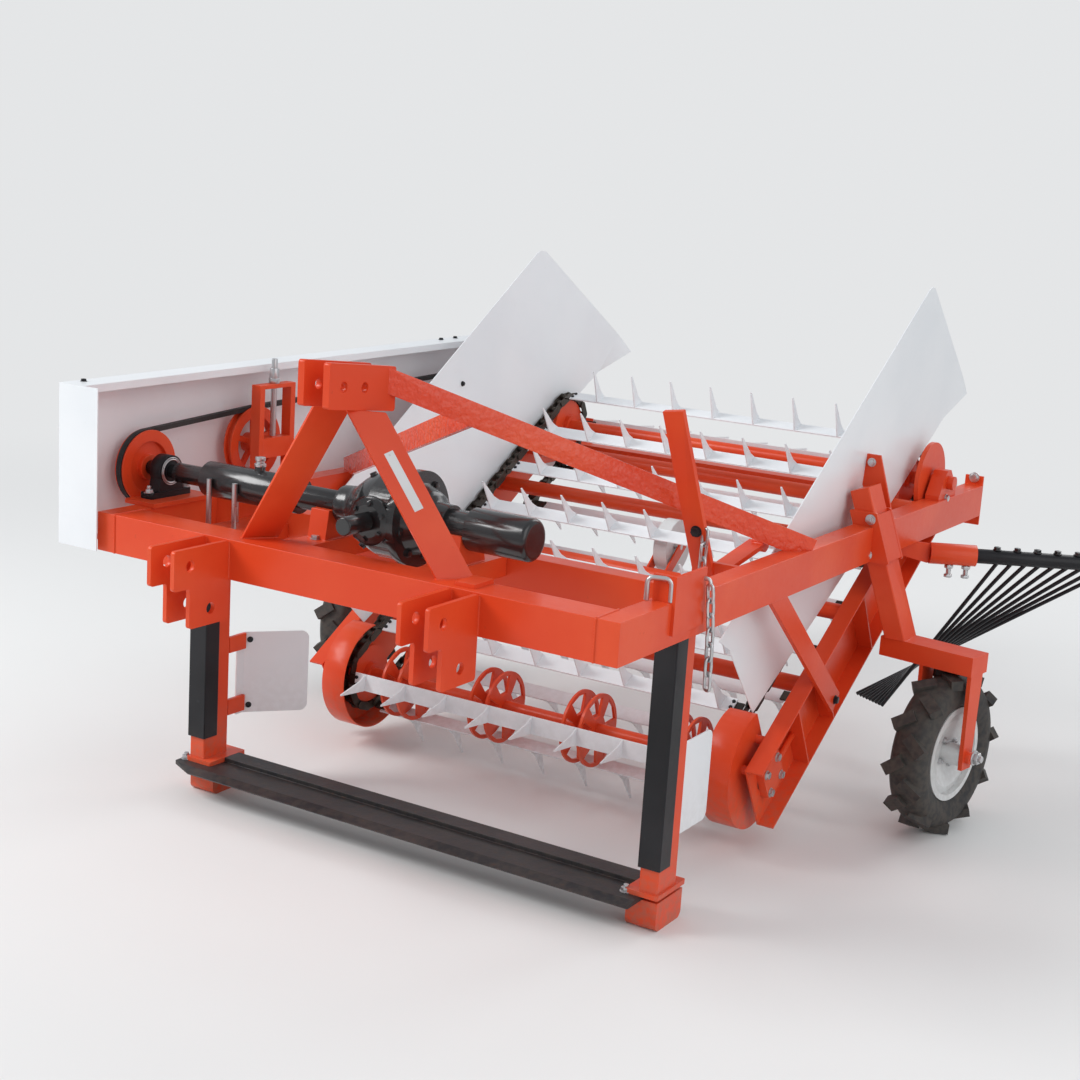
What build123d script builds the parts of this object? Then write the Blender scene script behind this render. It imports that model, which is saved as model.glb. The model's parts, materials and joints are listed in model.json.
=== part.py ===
from build123d import *
from math import cos, pi, radians, sin, tan
import os

# Groundnut digger shaker for a tractor's three-point linkage, in millimetres.
# X is to the right as seen from the tractor, Y points to the rear, Z is up.
# The origin is on the ground, mid-width and midway between the hitch plates and the tail.
# Distances called "behind" are measured from the front beam's front face.

# Main frame
FRAME_WIDTH = 1530
BEAM_TOP = 832
BEAM_HEIGHT = 100
FRONT_BEAM_DEPTH = 100
SIDE_BEAM_WIDTH = 60
SIDE_BEAM_LENGTH = 2400
CROSS_BEAM_BEHIND = 380
CROSS_BEAM_DEPTH = 60
REAR_TUBE_BEHIND = 2230
END_CAP = 8

# Three-point hitch
HITCH_SPREAD = 730
HITCH_GAP = 62
HITCH_PLATE = 12
HITCH_REACH = 190
LINK_PIN = 28.5
TOP_PIN = 25.5
TOP_GAP = 54
TOP_PLATE = 18
TOP_PIN_BEHIND = -47
MAST_HEIGHT = 463

# Soil legs and blade
LEG_WIDTH = 50
LEG_DEPTH = 97
LEG_BEHIND = 330
FOOT_WIDTH = 83
FOOT_DEPTH = 130
BLADE_TOP = 86
WEAR_CAP = 5
BLADE_THICKNESS = 12
BLADE_BEHIND = 262
BLADE_DEPTH = 178

# Elevator: two chains round a lower and an upper shaft, with toothed slats
ELEVATOR_LENGTH = 1275
LOWER_BEHIND = 987
LOWER_HEIGHT = 218
TOP_HEIGHT = BEAM_TOP + 48.4
CHAIN_RADIUS = 100
CHAIN_X = FRAME_WIDTH / 2 - 143
CHAIN_WIDTH = 22
CHAIN_HEIGHT = 26
SLAT_COUNT = 16
SLAT_LENGTH = 2 * CHAIN_X - 74
SLAT_WIDTH = 50
SLAT_THICKNESS = 5
TEETH_PER_SLAT = 8
TOOTH_PITCH = (SLAT_LENGTH - 2) / TEETH_PER_SLAT
TOOTH_LENGTH = 112
TOOTH_THICKNESS = 4
SHAFT_DIAMETER = 42
CHANNEL_WEB = FRAME_WIDTH / 2 - 65
CHANNEL_FLANGE = 50
CHANNEL_LOW = -112
CHANNEL_HIGH = 100
SHEET = 3

# Drive: gearbox, belt pulleys and tensioner
GEARBOX_BEHIND = 240
SHAFT_HEIGHT = 912
BELT_X = -FRAME_WIDTH / 2 - 69
BELT_WIDTH = 17
BELT_HEIGHT = 13
DRIVE_RADIUS = 88
IDLER_RADIUS = 96
DRIVEN_RADIUS = 190
INPUT_DIAMETER = 45
INPUT_JOURNAL = 38
STUB_LENGTH = 84
INPUT_LENGTH = 125
INPUT_BEARING = 150
OUTPUT_DIAMETER = 36
IDLER_BEHIND = 668
IDLER_HEIGHT = 932
GROOVE_WALL = 6

# Gauge wheels and windrowers
WHEEL_X = FRAME_WIDTH / 2 + 255
WHEEL_BEHIND = 1470
TYRE_RADIUS = 230
TYRE_WIDTH = 112
WHEEL_YAW = 9
AXLE_DIAMETER = 20
POST_BEHIND = 1500
POST_WIDTH = 57
POST_DEPTH = 96
POST_LEAN = 20
POST_X = FRAME_WIDTH / 2 - 3
WINDROWER_HEIGHT = 700
WINDROWER_LEFT_HEIGHT = 620
WINDROWER_ANGLE = 30
WINDROWER_DIAMETER = 44
ROD_COUNT = 9
ROD_DIAMETER = 12

# Running clearances
TURNING_GAP = 0.3
SLIDING_GAP = 0.4

TAIL_REACH = 2529
FRONT = (HITCH_REACH - TAIL_REACH) / 2
BEAM_LOW = BEAM_TOP - BEAM_HEIGHT
OUTSIDE = FRAME_WIDTH / 2
INSIDE = OUTSIDE - SIDE_BEAM_WIDTH
RISE = (TOP_HEIGHT - LOWER_HEIGHT) / ELEVATOR_LENGTH
RUN = (1 - RISE ** 2) ** 0.5
TOP_BEHIND = LOWER_BEHIND + ELEVATOR_LENGTH * RUN
SIDES = (("left", -1), ("right", 1))


def side_plane(x):
    """Return the upright plane at x whose coordinates are (behind, height)."""
    return Plane(origin=(x, FRONT, 0), x_dir=(0, 1, 0), z_dir=(1, 0, 0))


def slope_plane(x):
    """Return the plane at x whose coordinates run (along, above) the elevator's centre line."""
    return Plane(origin=(x, FRONT + LOWER_BEHIND, LOWER_HEIGHT), x_dir=(0, RUN, RISE), z_dir=(1, 0, 0))


def point(x, behind, height):
    """Return a point given by its distance behind the front face."""
    return Vector(x, FRONT + behind, height)


def sloped(x, along, above):
    """Return a point given by its place along and above the elevator's centre line."""
    return point(x, LOWER_BEHIND + along * RUN - above * RISE, LOWER_HEIGHT + along * RISE + above * RUN)


def block(x_ends, behind_ends, height_ends, edge=0, mode=Mode.ADD):
    """Add an upright block between the given ends, with its upright edges rounded."""
    middle = (sum(x_ends) / 2, FRONT + sum(behind_ends) / 2)
    with BuildSketch(Plane.XY.offset(height_ends[0])) as base:
        with Locations(middle):
            Rectangle(abs(x_ends[1] - x_ends[0]), behind_ends[1] - behind_ends[0])
        if edge:
            fillet(base.vertices(), edge)
    extrude(base.sketch, amount=height_ends[1] - height_ends[0], mode=mode)


def plate(plane, points, thickness, edge=0, holes=()):
    """Add a flat plate centred on a plane, with rounded corners and (x, y, diameter) holes."""
    with BuildSketch(plane) as outline:
        with BuildLine():
            Polyline(*points, close=True)
        make_face()
        if edge:
            fillet(outline.vertices(), edge)
        for across, up, bore in holes:
            with Locations((across, up)):
                Circle(bore / 2, mode=Mode.SUBTRACT)
    extrude(outline.sketch, amount=thickness / 2, both=True)


def rod(start, end, diameter, bore=0, mode=Mode.ADD):
    """Add a round bar between two points, or a tube when it has a bore."""
    axis = Vector(*end) - Vector(*start)
    with BuildSketch(Plane(origin=start, z_dir=axis)) as section:
        Circle(diameter / 2)
        if bore:
            Circle(bore / 2, mode=Mode.SUBTRACT)
    extrude(section.sketch, amount=axis.length, mode=mode)


def flat_bar(start, end, width, thickness, across, edge=0):
    """Add a bar of rectangular section between two points, its width along `across`."""
    axis = Vector(*end) - Vector(*start)
    with BuildSketch(Plane(origin=start, x_dir=across, z_dir=axis)) as section:
        Rectangle(width, thickness)
        if edge:
            fillet(section.vertices(), edge)
    extrude(section.sketch, amount=axis.length)


def turned(plane, profile):
    """Add a body of revolution: (radius, along) points turned about the plane's normal."""
    with BuildSketch(Plane(origin=plane.origin, x_dir=plane.x_dir, z_dir=-plane.y_dir)) as half:
        with BuildLine():
            Polyline(*profile, close=True)
        make_face()
    revolve(half.sketch, axis=Axis(plane.origin, plane.z_dir))


def spun(plane, angle):
    """Return a plane turned about its own normal by an angle in degrees."""
    turn = radians(angle)
    return Plane(origin=plane.origin, x_dir=plane.x_dir * cos(turn) + plane.y_dir * sin(turn), z_dir=plane.z_dir)


def save(piece, name):
    """Label a finished piece and write it."""
    piece.part.label = name
    export_step(piece.part, f"parts/{name}.step")


os.makedirs("parts", exist_ok=True)

# Main frame: a front beam butted between two long side beams, and two cross tubes
with BuildPart() as front_beam:
    block((-INSIDE, INSIDE), (0, FRONT_BEAM_DEPTH), (BEAM_LOW, BEAM_TOP))
save(front_beam, "front_beam")

CROSS_BEAM_END = CROSS_BEAM_BEHIND + CROSS_BEAM_DEPTH
with BuildPart() as cross_beam:
    block((-INSIDE, INSIDE), (CROSS_BEAM_BEHIND, CROSS_BEAM_END), (BEAM_LOW, BEAM_TOP))
save(cross_beam, "cross_beam")

SLEEVE_INNER = POST_DEPTH / 2 + SLIDING_GAP
SLEEVE_PLATE = 10
BEAM_GAP = SLEEVE_INNER + SLEEVE_PLATE
for name, side in SIDES:
    with BuildPart() as side_beam:
        block((side * INSIDE, side * OUTSIDE), (0, POST_BEHIND - BEAM_GAP), (BEAM_LOW, BEAM_TOP))
        block((side * INSIDE, side * OUTSIDE), (POST_BEHIND + BEAM_GAP, SIDE_BEAM_LENGTH), (BEAM_LOW, BEAM_TOP))
        block((side * INSIDE, side * OUTSIDE), (SIDE_BEAM_LENGTH, SIDE_BEAM_LENGTH + END_CAP), (BEAM_LOW - 30, BEAM_TOP + 30))
    save(side_beam, f"side_beam_{name}")

    # A cheek plate closes the beam before and behind the leaning post
    lean = tan(radians(POST_LEAN))
    middle = BEAM_TOP - BEAM_HEIGHT / 2
    wall = POST_WIDTH / 2 / cos(radians(POST_LEAN)) + 10
    low, high = BEAM_LOW, BEAM_TOP + 40
    with BuildPart() as post_sleeve:
        for facing in (-1, 1):
            behind = POST_BEHIND + facing * (SLEEVE_INNER + SLEEVE_PLATE / 2)
            cheek = Plane(origin=point(side * POST_X, behind, middle), x_dir=(side, 0, 0), z_dir=(0, -side, 0))
            corners = [(x + (middle - z) * lean, z - middle) for x, z in
                       ((-wall, low), (wall, low), (wall, high), (-wall, high))]
            plate(cheek, corners, SLEEVE_PLATE, edge=5)
        # Outer angle strap that holds the post against the beam
        for x in (wall - 4, -wall + 4):
            face = [point(side * (POST_X + x + (middle - z) * lean), POST_BEHIND, z) for z in (low + 6, high - 6)]
            flat_bar(face[0], face[1], 2 * SLEEVE_INNER, 6, (0, 1, 0))
    save(post_sleeve, f"post_sleeve_{name}")

# Lower hitch: a stepped plate each side of the tractor's link end, with two pin heights
PIN_HIGH = (-135, 787)
PIN_LOW = (-62, 672)
PIN_SEAT = 55
for name, side in SIDES:
    with BuildPart() as lower_hitch:
        for x in (-HITCH_GAP - HITCH_PLATE, HITCH_GAP + HITCH_PLATE):
            upper_step = PIN_HIGH[1] - PIN_SEAT
            corners = ((0, BEAM_TOP - 2), (-HITCH_REACH, BEAM_TOP - 2), (-HITCH_REACH, upper_step),
                       (-HITCH_REACH + PIN_SEAT, upper_step), (-HITCH_REACH + PIN_SEAT, PIN_LOW[1] - 40),
                       (0, PIN_LOW[1] - 40))
            bores = ((*PIN_HIGH, LINK_PIN), (*PIN_LOW, LINK_PIN))
            plate(side_plane(side * HITCH_SPREAD / 2 + x / 2), corners, HITCH_PLATE, edge=9, holes=bores)
    save(lower_hitch, f"lower_hitch_{name}")

# Mast: two plates for the top link on two leaning legs, braced back to the side beams
TOP_PIN_HEIGHT = PIN_HIGH[1] + MAST_HEIGHT
BRACKET_LOW = TOP_PIN_HEIGHT - 47
BRACKET_HIGH = TOP_PIN_HEIGHT + 58
BRACKET_DROP = 24
BRACKET_FRONT, BRACKET_REAR = -100, 148
REAR_PIN = (30, TOP_PIN_HEIGHT - 7)
BRACKET_SLOPE = BRACKET_DROP / (BRACKET_REAR - BRACKET_FRONT)
with BuildPart() as top_hitch_bracket:
    for side in (-1, 1):
        corners = ((BRACKET_FRONT, BRACKET_LOW), (BRACKET_REAR, BRACKET_LOW - BRACKET_DROP),
                   (BRACKET_REAR, BRACKET_HIGH - BRACKET_DROP), (BRACKET_FRONT, BRACKET_HIGH))
        bores = ((TOP_PIN_BEHIND, TOP_PIN_HEIGHT, TOP_PIN), (*REAR_PIN, TOP_PIN))
        plate(side_plane(side * (TOP_GAP + TOP_PLATE) / 2), corners, TOP_PLATE, edge=8, holes=bores)
    block((-TOP_GAP / 2, TOP_GAP / 2), (BRACKET_REAR - 40, BRACKET_REAR - 22),
          (BRACKET_LOW - BRACKET_DROP + 6, BRACKET_HIGH - BRACKET_DROP - 6))
save(top_hitch_bracket, "top_hitch_bracket")

MAST_FOOT = (290, 73)
MAST_HEAD = (40, 30)
MAST_LEG = (92, 12)
MAST_TURN = 58
with BuildPart() as mast_legs:
    for name, side in SIDES:
        foot = point(side * MAST_FOOT[0], MAST_FOOT[1], BEAM_TOP)
        head = point(side * MAST_HEAD[0], MAST_HEAD[1], BRACKET_LOW)
        with BuildSketch(Plane(origin=foot)) as section:
            Rectangle(*MAST_LEG, rotation=MAST_TURN)
        lean_line = head - foot
        extrude(section.sketch, amount=lean_line.length + 20, dir=lean_line)
    # The legs end on the bracket's sloping lower edge
    bracket_edge = point(0, BRACKET_FRONT, BRACKET_LOW)
    split(bisect_by=Plane(origin=bracket_edge, x_dir=(1, 0, 0), z_dir=(0, BRACKET_SLOPE, 1)), keep=Keep.BOTTOM)
    block((MAST_FOOT[0] + 36, MAST_FOOT[0] + 90), (20, FRONT_BEAM_DEPTH), (BEAM_TOP, BEAM_TOP + 10))
save(mast_legs, "mast_legs")

BRACE = (58, 14)
# (start, end) of each brace: the left one branches off the right one
BRACES = (((20, 100, TOP_PIN_HEIGHT + 14), (OUTSIDE - 5, 1020, BEAM_TOP)),
          ((170, 286, TOP_PIN_HEIGHT - 74), (-OUTSIDE + 28, 985, BEAM_TOP + 6)))
with BuildPart() as mast_braces:
    for near, far in BRACES:
        start, end = point(*near), point(*far)
        along = end - start
        flat_bar(start, end, *BRACE, (-along.X * along.Z, -along.Y * along.Z, along.X ** 2 + along.Y ** 2))
    split(bisect_by=Plane.XY.offset(BEAM_TOP), keep=Keep.TOP)
    bracket_half = TOP_GAP / 2 + TOP_PLATE
    block((-bracket_half, bracket_half), (0, BRACKET_REAR), (BRACKET_LOW - 60, BRACKET_HIGH + 60), mode=Mode.SUBTRACT)
save(mast_braces, "mast_braces")

# Gearbox on cradles between the front beam and the cross beam, its axle tubes lying across
CRADLE_XS = (-200, 194)
STUD_XS = (-560, -474)
STUD_DIAMETER = 14
TUBE_SMALL = 62
TUBE_BIG = 92
TUBE_END = 104
TUBE_MIDDLE = 80
with BuildPart() as gearbox_cradles:
    for x in CRADLE_XS:
        block((x - 40, x + 40), (FRONT_BEAM_DEPTH, CROSS_BEAM_BEHIND), (BEAM_TOP - 55, BEAM_TOP - 5))
        saddle_top = SHAFT_HEIGHT - 12
        corners = ((GEARBOX_BEHIND - 60, BEAM_TOP - 5), (GEARBOX_BEHIND + 60, BEAM_TOP - 5),
                   (GEARBOX_BEHIND + 48, saddle_top), (GEARBOX_BEHIND - 48, saddle_top))
        seat = TUBE_SMALL if x < 0 else TUBE_MIDDLE
        plate(side_plane(x), corners, 56, holes=((GEARBOX_BEHIND, SHAFT_HEIGHT, seat),))
    # Low bar under the studs of the left tube
    block((STUD_XS[0] - 20, STUD_XS[1] + 20), (FRONT_BEAM_DEPTH, CROSS_BEAM_BEHIND), (BEAM_TOP - 75, BEAM_TOP - 35))
    # Seat plate of the output bearing on the left side beam
    block((-OUTSIDE - 35, -INSIDE + 10), (GEARBOX_BEHIND - 110, GEARBOX_BEHIND + 110), (BEAM_TOP, BEAM_TOP + 12))
save(gearbox_cradles, "gearbox_cradles")

with BuildPart() as axle_studs:
    for x in STUD_XS:
        for facing in (-1, 1):
            behind = GEARBOX_BEHIND + facing * (TUBE_BIG + STUD_DIAMETER) / 2
            rod(point(x, behind, BEAM_TOP - 35), point(x, behind, SHAFT_HEIGHT + 12), STUD_DIAMETER)
save(axle_studs, "axle_studs")

CASING_RADIUS = 108
shaft_line = Plane(origin=point(0, GEARBOX_BEHIND, SHAFT_HEIGHT), x_dir=(0, 0, 1), z_dir=(1, 0, 0))
nose_line = Plane(origin=point(0, GEARBOX_BEHIND, SHAFT_HEIGHT), x_dir=(0, 0, 1), z_dir=(0, -1, 0))
with BuildPart() as gearbox_housing:
    turned(shaft_line, ((0, -163), (48, -163), (52, -120), (84, -78), (CASING_RADIUS - 8, -44), (CASING_RADIUS, -20),
                        (CASING_RADIUS, 48), (CASING_RADIUS + 10, 48), (CASING_RADIUS + 10, 72), (88, 72), (70, 112),
                        (50, 122), (48, 163), (0, 163)))
    turned(nose_line, ((0, 0), (78, 0), (72, 70), (56, 80), (52, 104), (60, 104), (60, 116), (40, 122), (0, 122)))
    # Ribs on the nose and a filler boss above
    for turn in (45, 135, 225, 315):
        rib = spun(nose_line, turn)
        with BuildSketch(Plane(origin=rib.origin, x_dir=rib.x_dir, z_dir=rib.y_dir)) as web:
            with BuildLine():
                Polyline((60, -40), (100, -52), (66, -110), (50, -110), close=True)
            make_face()
        extrude(web.sketch, amount=4, both=True)
    # The input shaft turns in a blind bore in the nose
    rod(point(0, INPUT_BEARING, SHAFT_HEIGHT), point(0, 60, SHAFT_HEIGHT), INPUT_JOURNAL + 2 * TURNING_GAP,
        mode=Mode.SUBTRACT)
save(gearbox_housing, "gearbox_housing")

with BuildPart() as input_shaft:
    turned(Plane(origin=point(0, INPUT_BEARING - TURNING_GAP, SHAFT_HEIGHT), x_dir=(0, 0, 1), z_dir=(0, -1, 0)),
           ((0, 0), (INPUT_JOURNAL / 2, 0), (INPUT_JOURNAL / 2, INPUT_LENGTH - STUB_LENGTH - 3),
            (INPUT_DIAMETER / 2, INPUT_LENGTH - STUB_LENGTH - 3), (INPUT_DIAMETER / 2, INPUT_LENGTH - 3),
            (INPUT_DIAMETER / 2 - 3, INPUT_LENGTH), (0, INPUT_LENGTH)))
save(input_shaft, "input_shaft")

with BuildPart() as axle_tubes:
    # (start x, end x, diameter) of each length of tube
    for start, end, diameter in ((-163, -300, TUBE_SMALL), (-300, -605, TUBE_BIG), (-605, -715, 52),
                                 (163, 226, TUBE_MIDDLE), (226, 397, TUBE_END)):
        rod(point(start, GEARBOX_BEHIND, SHAFT_HEIGHT), point(end, GEARBOX_BEHIND, SHAFT_HEIGHT), diameter)
    fillet(axle_tubes.faces().sort_by(Axis.X)[-1].edges(), 12)
    rod(point(-437, GEARBOX_BEHIND, SHAFT_HEIGHT + 40), point(-437, GEARBOX_BEHIND, SHAFT_HEIGHT + 56), 28)
    rod(point(-640, GEARBOX_BEHIND, SHAFT_HEIGHT), point(BELT_X - 24, GEARBOX_BEHIND, SHAFT_HEIGHT), OUTPUT_DIAMETER)
save(axle_tubes, "axle_tubes")

PILLOW_X = 5 - OUTSIDE
PILLOW_WIDTH = 38
with BuildPart() as pillow_block:
    low = BEAM_TOP + 12
    block((PILLOW_X - 22, PILLOW_X + 22), (GEARBOX_BEHIND - 75, GEARBOX_BEHIND + 75), (low, low + 16), edge=8)
    corners = ((GEARBOX_BEHIND - 46, low + 16), (GEARBOX_BEHIND + 46, low + 16),
               (GEARBOX_BEHIND + 34, SHAFT_HEIGHT), (GEARBOX_BEHIND - 34, SHAFT_HEIGHT))
    plate(side_plane(PILLOW_X), corners, PILLOW_WIDTH)
    rod(point(PILLOW_X - PILLOW_WIDTH / 2, GEARBOX_BEHIND, SHAFT_HEIGHT),
        point(PILLOW_X + PILLOW_WIDTH / 2, GEARBOX_BEHIND, SHAFT_HEIGHT), 84)
    rod(point(PILLOW_X - PILLOW_WIDTH, GEARBOX_BEHIND, SHAFT_HEIGHT),
        point(PILLOW_X + PILLOW_WIDTH, GEARBOX_BEHIND, SHAFT_HEIGHT), OUTPUT_DIAMETER, mode=Mode.SUBTRACT)
save(pillow_block, "pillow_block")

# Belt drive on the left: three grooved pulleys inside one belt
BELT_WHEELS = ((GEARBOX_BEHIND, SHAFT_HEIGHT, DRIVE_RADIUS), (IDLER_BEHIND, IDLER_HEIGHT, IDLER_RADIUS),
               (TOP_BEHIND, TOP_HEIGHT, DRIVEN_RADIUS))
with BuildPart() as drive_belt:
    with BuildSketch(side_plane(BELT_X)) as loop:
        for behind, height, radius in BELT_WHEELS:
            with Locations((behind, height)):
                Circle(radius + BELT_HEIGHT)
        make_hull()
        offset(amount=-BELT_HEIGHT, mode=Mode.SUBTRACT)
    extrude(amount=BELT_WIDTH / 2, both=True)
save(drive_belt, "drive_belt")

RIM_DEPTH = 20
PULLEY_BORES = (OUTPUT_DIAMETER, 24, SHAFT_DIAMETER)
PULLEY_SPOKES = (0, 5, 6)
with BuildPart() as belt_pulleys:
    for (behind, height, radius), bore, spokes in zip(BELT_WHEELS, PULLEY_BORES, PULLEY_SPOKES):
        wheel = Plane(origin=point(BELT_X, behind, height), x_dir=(0, 0, 1), z_dir=(1, 0, 0))
        groove = BELT_WIDTH / 2
        flange = groove + GROOVE_WALL
        lip = radius + BELT_HEIGHT - 2
        inner = radius - RIM_DEPTH
        collar = bore / 2 + 16
        turned(wheel, ((inner, -flange), (lip, -flange), (lip, -groove), (radius, -groove),
                       (radius, groove), (lip, groove), (lip, flange), (inner, flange)))
        if spokes:
            turned(wheel, ((bore / 2, -22), (collar, -22), (collar, 22), (bore / 2, 22)))
            for spoke in range(spokes):
                arm = spun(wheel, spoke * 360 / spokes)
                with BuildSketch(Plane(origin=arm.origin, x_dir=arm.y_dir, z_dir=arm.x_dir).offset(collar - 6)) as web:
                    Rectangle(16, 10)
                extrude(web.sketch, amount=inner - collar + 8)
        else:
            turned(wheel, ((bore / 2, -18), (collar, -18), (collar, -4), (inner, -4),
                           (inner, 4), (collar, 4), (collar, 18), (bore / 2, 18)))
save(belt_pulleys, "belt_pulleys")

# Belt tensioner: an upright yoke on the side beam with a screw that lifts the idler's slider
YOKE_X = 5 - OUTSIDE
YOKE_WIDTH = 32
YOKE_GAP = 112
YOKE_BAR = 20
YOKE_TOP = BEAM_TOP + 280
SCREW_DIAMETER = 16
yoke_ends = (YOKE_X - YOKE_WIDTH / 2, YOKE_X + YOKE_WIDTH / 2)
with BuildPart() as tensioner_yoke:
    for facing in (-1, 1):
        inner = IDLER_BEHIND + facing * YOKE_GAP / 2
        block(yoke_ends, sorted((inner, inner + facing * YOKE_BAR)), (BEAM_TOP, YOKE_TOP))
    block(yoke_ends, (IDLER_BEHIND - YOKE_GAP / 2, IDLER_BEHIND + YOKE_GAP / 2), (YOKE_TOP - 12, YOKE_TOP))
    rod(point(YOKE_X, IDLER_BEHIND, YOKE_TOP - 40), point(YOKE_X, IDLER_BEHIND, YOKE_TOP + 40), SCREW_DIAMETER,
        mode=Mode.SUBTRACT)
save(tensioner_yoke, "tensioner_yoke")

with BuildPart() as tensioner_slider:
    block(yoke_ends, (IDLER_BEHIND - YOKE_GAP / 2, IDLER_BEHIND + YOKE_GAP / 2), (IDLER_HEIGHT - 28, IDLER_HEIGHT + 28))
    rod(point(yoke_ends[1], IDLER_BEHIND, IDLER_HEIGHT), point(BELT_X - 26, IDLER_BEHIND, IDLER_HEIGHT), 24)
    rod(point(YOKE_X, IDLER_BEHIND, IDLER_HEIGHT + 28), point(YOKE_X, IDLER_BEHIND, YOKE_TOP + 68), SCREW_DIAMETER)
    rod(point(YOKE_X, IDLER_BEHIND, YOKE_TOP), point(YOKE_X, IDLER_BEHIND, YOKE_TOP + 42), 26)
save(tensioner_slider, "tensioner_slider")

# Belt guard: a folded sheet cover, open towards the machine
GUARD_X = BELT_X - 50
GUARD_FRONT, GUARD_REAR = -20, 2310
GUARD_LOW, GUARD_TOP = 734, 1150
GUARD_REAR_LOW, GUARD_REAR_TOP = 650, 1186
GUARD_LIP = (85, 135)
GUARD_HEM = 20
with BuildPart() as belt_guard:
    outline = ((GUARD_FRONT, GUARD_LOW), (1300, GUARD_LOW), (GUARD_REAR, GUARD_REAR_LOW),
               (GUARD_REAR, GUARD_REAR_TOP), (GUARD_FRONT, GUARD_TOP))
    lip, flange = GUARD_LIP
    plate(side_plane(GUARD_X + lip / 2), outline, lip)
    hollow = ((GUARD_FRONT + SHEET, GUARD_LOW - 60), (GUARD_REAR - SHEET, GUARD_REAR_LOW - 60),
              (GUARD_REAR - SHEET, GUARD_REAR_TOP - SHEET), (GUARD_FRONT + SHEET, GUARD_TOP - SHEET))
    with BuildSketch(side_plane(GUARD_X + SHEET)) as inside:
        with BuildLine():
            Polyline(*hollow, close=True)
        make_face()
    extrude(inside.sketch, amount=lip, mode=Mode.SUBTRACT)
    hem = ((GUARD_FRONT, GUARD_TOP), (GUARD_REAR, GUARD_REAR_TOP), (GUARD_REAR, GUARD_REAR_TOP - GUARD_HEM),
           (GUARD_FRONT, GUARD_TOP - GUARD_HEM))
    plate(side_plane(GUARD_X + lip - SHEET / 2), hem, SHEET)
    block((GUARD_X, GUARD_X + flange), (GUARD_FRONT, GUARD_FRONT + SHEET), (GUARD_LOW, GUARD_TOP))
save(belt_guard, "belt_guard")

# Soil legs on blade and feet, with wear caps on their front edges
LEG_OUTER = OUTSIDE - 27
LEG_INNER = LEG_OUTER - LEG_WIDTH
LEG_REAR = LEG_BEHIND + LEG_DEPTH
SHIELD_HEIGHTS = (192, 428)
SHIELD_BEND = (470, 500, 640)
TAB = (10, 45)
for name, side in SIDES:
    with BuildPart() as leg:
        block((side * LEG_INNER, side * LEG_OUTER), (LEG_BEHIND, LEG_REAR), (BLADE_TOP, BEAM_LOW), edge=4)
        block((side * (LEG_OUTER - FOOT_WIDTH), side * (LEG_OUTER + 6)), (LEG_BEHIND - 8, LEG_REAR + 40),
              (BLADE_TOP, BLADE_TOP + 12), edge=6)
        # Foot under the blade
        block((side * (LEG_OUTER - FOOT_WIDTH), side * LEG_OUTER), (LEG_BEHIND + 5, LEG_BEHIND + 5 + FOOT_DEPTH),
              (0, BLADE_TOP - BLADE_THICKNESS))
        fillet(leg.edges().filter_by(Axis.X).group_by(Axis.Z)[0], 18)
        for height in (SHIELD_HEIGHTS[0] + 10, SHIELD_HEIGHTS[1] - 45):
            block((side * LEG_INNER, side * (LEG_INNER + TAB[0])), (LEG_REAR, SHIELD_BEND[1] - 4), (height, height + TAB[1]))
    save(leg, f"leg_{name}")

with BuildPart() as wear_caps:
    for name, side in SIDES:
        cap = (side * (LEG_INNER - WEAR_CAP), side * (LEG_OUTER + WEAR_CAP))
        block(cap, (LEG_BEHIND - WEAR_CAP, LEG_BEHIND + 50), (158, BEAM_LOW - 6), edge=3)
    for name, side in SIDES:
        block((side * LEG_INNER, side * LEG_OUTER), (LEG_BEHIND, LEG_REAR), (100, BEAM_LOW), mode=Mode.SUBTRACT)
save(wear_caps, "wear_caps")

BLADE_LEFT, BLADE_RIGHT = -OUTSIDE, LEG_OUTER - 40
BLADE_REAR = BLADE_BEHIND + BLADE_DEPTH
BLADE_LOW = BLADE_TOP - BLADE_THICKNESS
with BuildPart() as blade:
    section = ((BLADE_BEHIND, BLADE_LOW), (BLADE_REAR, BLADE_LOW), (BLADE_REAR, BLADE_TOP),
               (BLADE_BEHIND + 30, BLADE_TOP), (BLADE_BEHIND, BLADE_LOW + 2))
    plate(side_plane((BLADE_LEFT + BLADE_RIGHT) / 2), section, BLADE_RIGHT - BLADE_LEFT)
    # The left end runs to a point past the leg
    with BuildSketch(Plane(origin=point(BLADE_LEFT, 0, BLADE_LOW))) as tip:
        for corners in (((-1, BLADE_BEHIND - 1), (84, BLADE_BEHIND - 1), (0, BLADE_BEHIND + 40)),
                        ((-1, BLADE_BEHIND + 60), (50, BLADE_REAR + 1), (-1, BLADE_REAR + 1))):
            with BuildLine():
                Polyline(*corners, close=True)
            make_face()
    extrude(tip.sketch, amount=BLADE_THICKNESS, mode=Mode.SUBTRACT)
    block((LEG_OUTER - FOOT_WIDTH, FOOT_WIDTH - LEG_OUTER), (BLADE_REAR - 60, BLADE_REAR), (BLADE_TOP, BLADE_TOP + 12))
save(blade, "blade")

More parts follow.
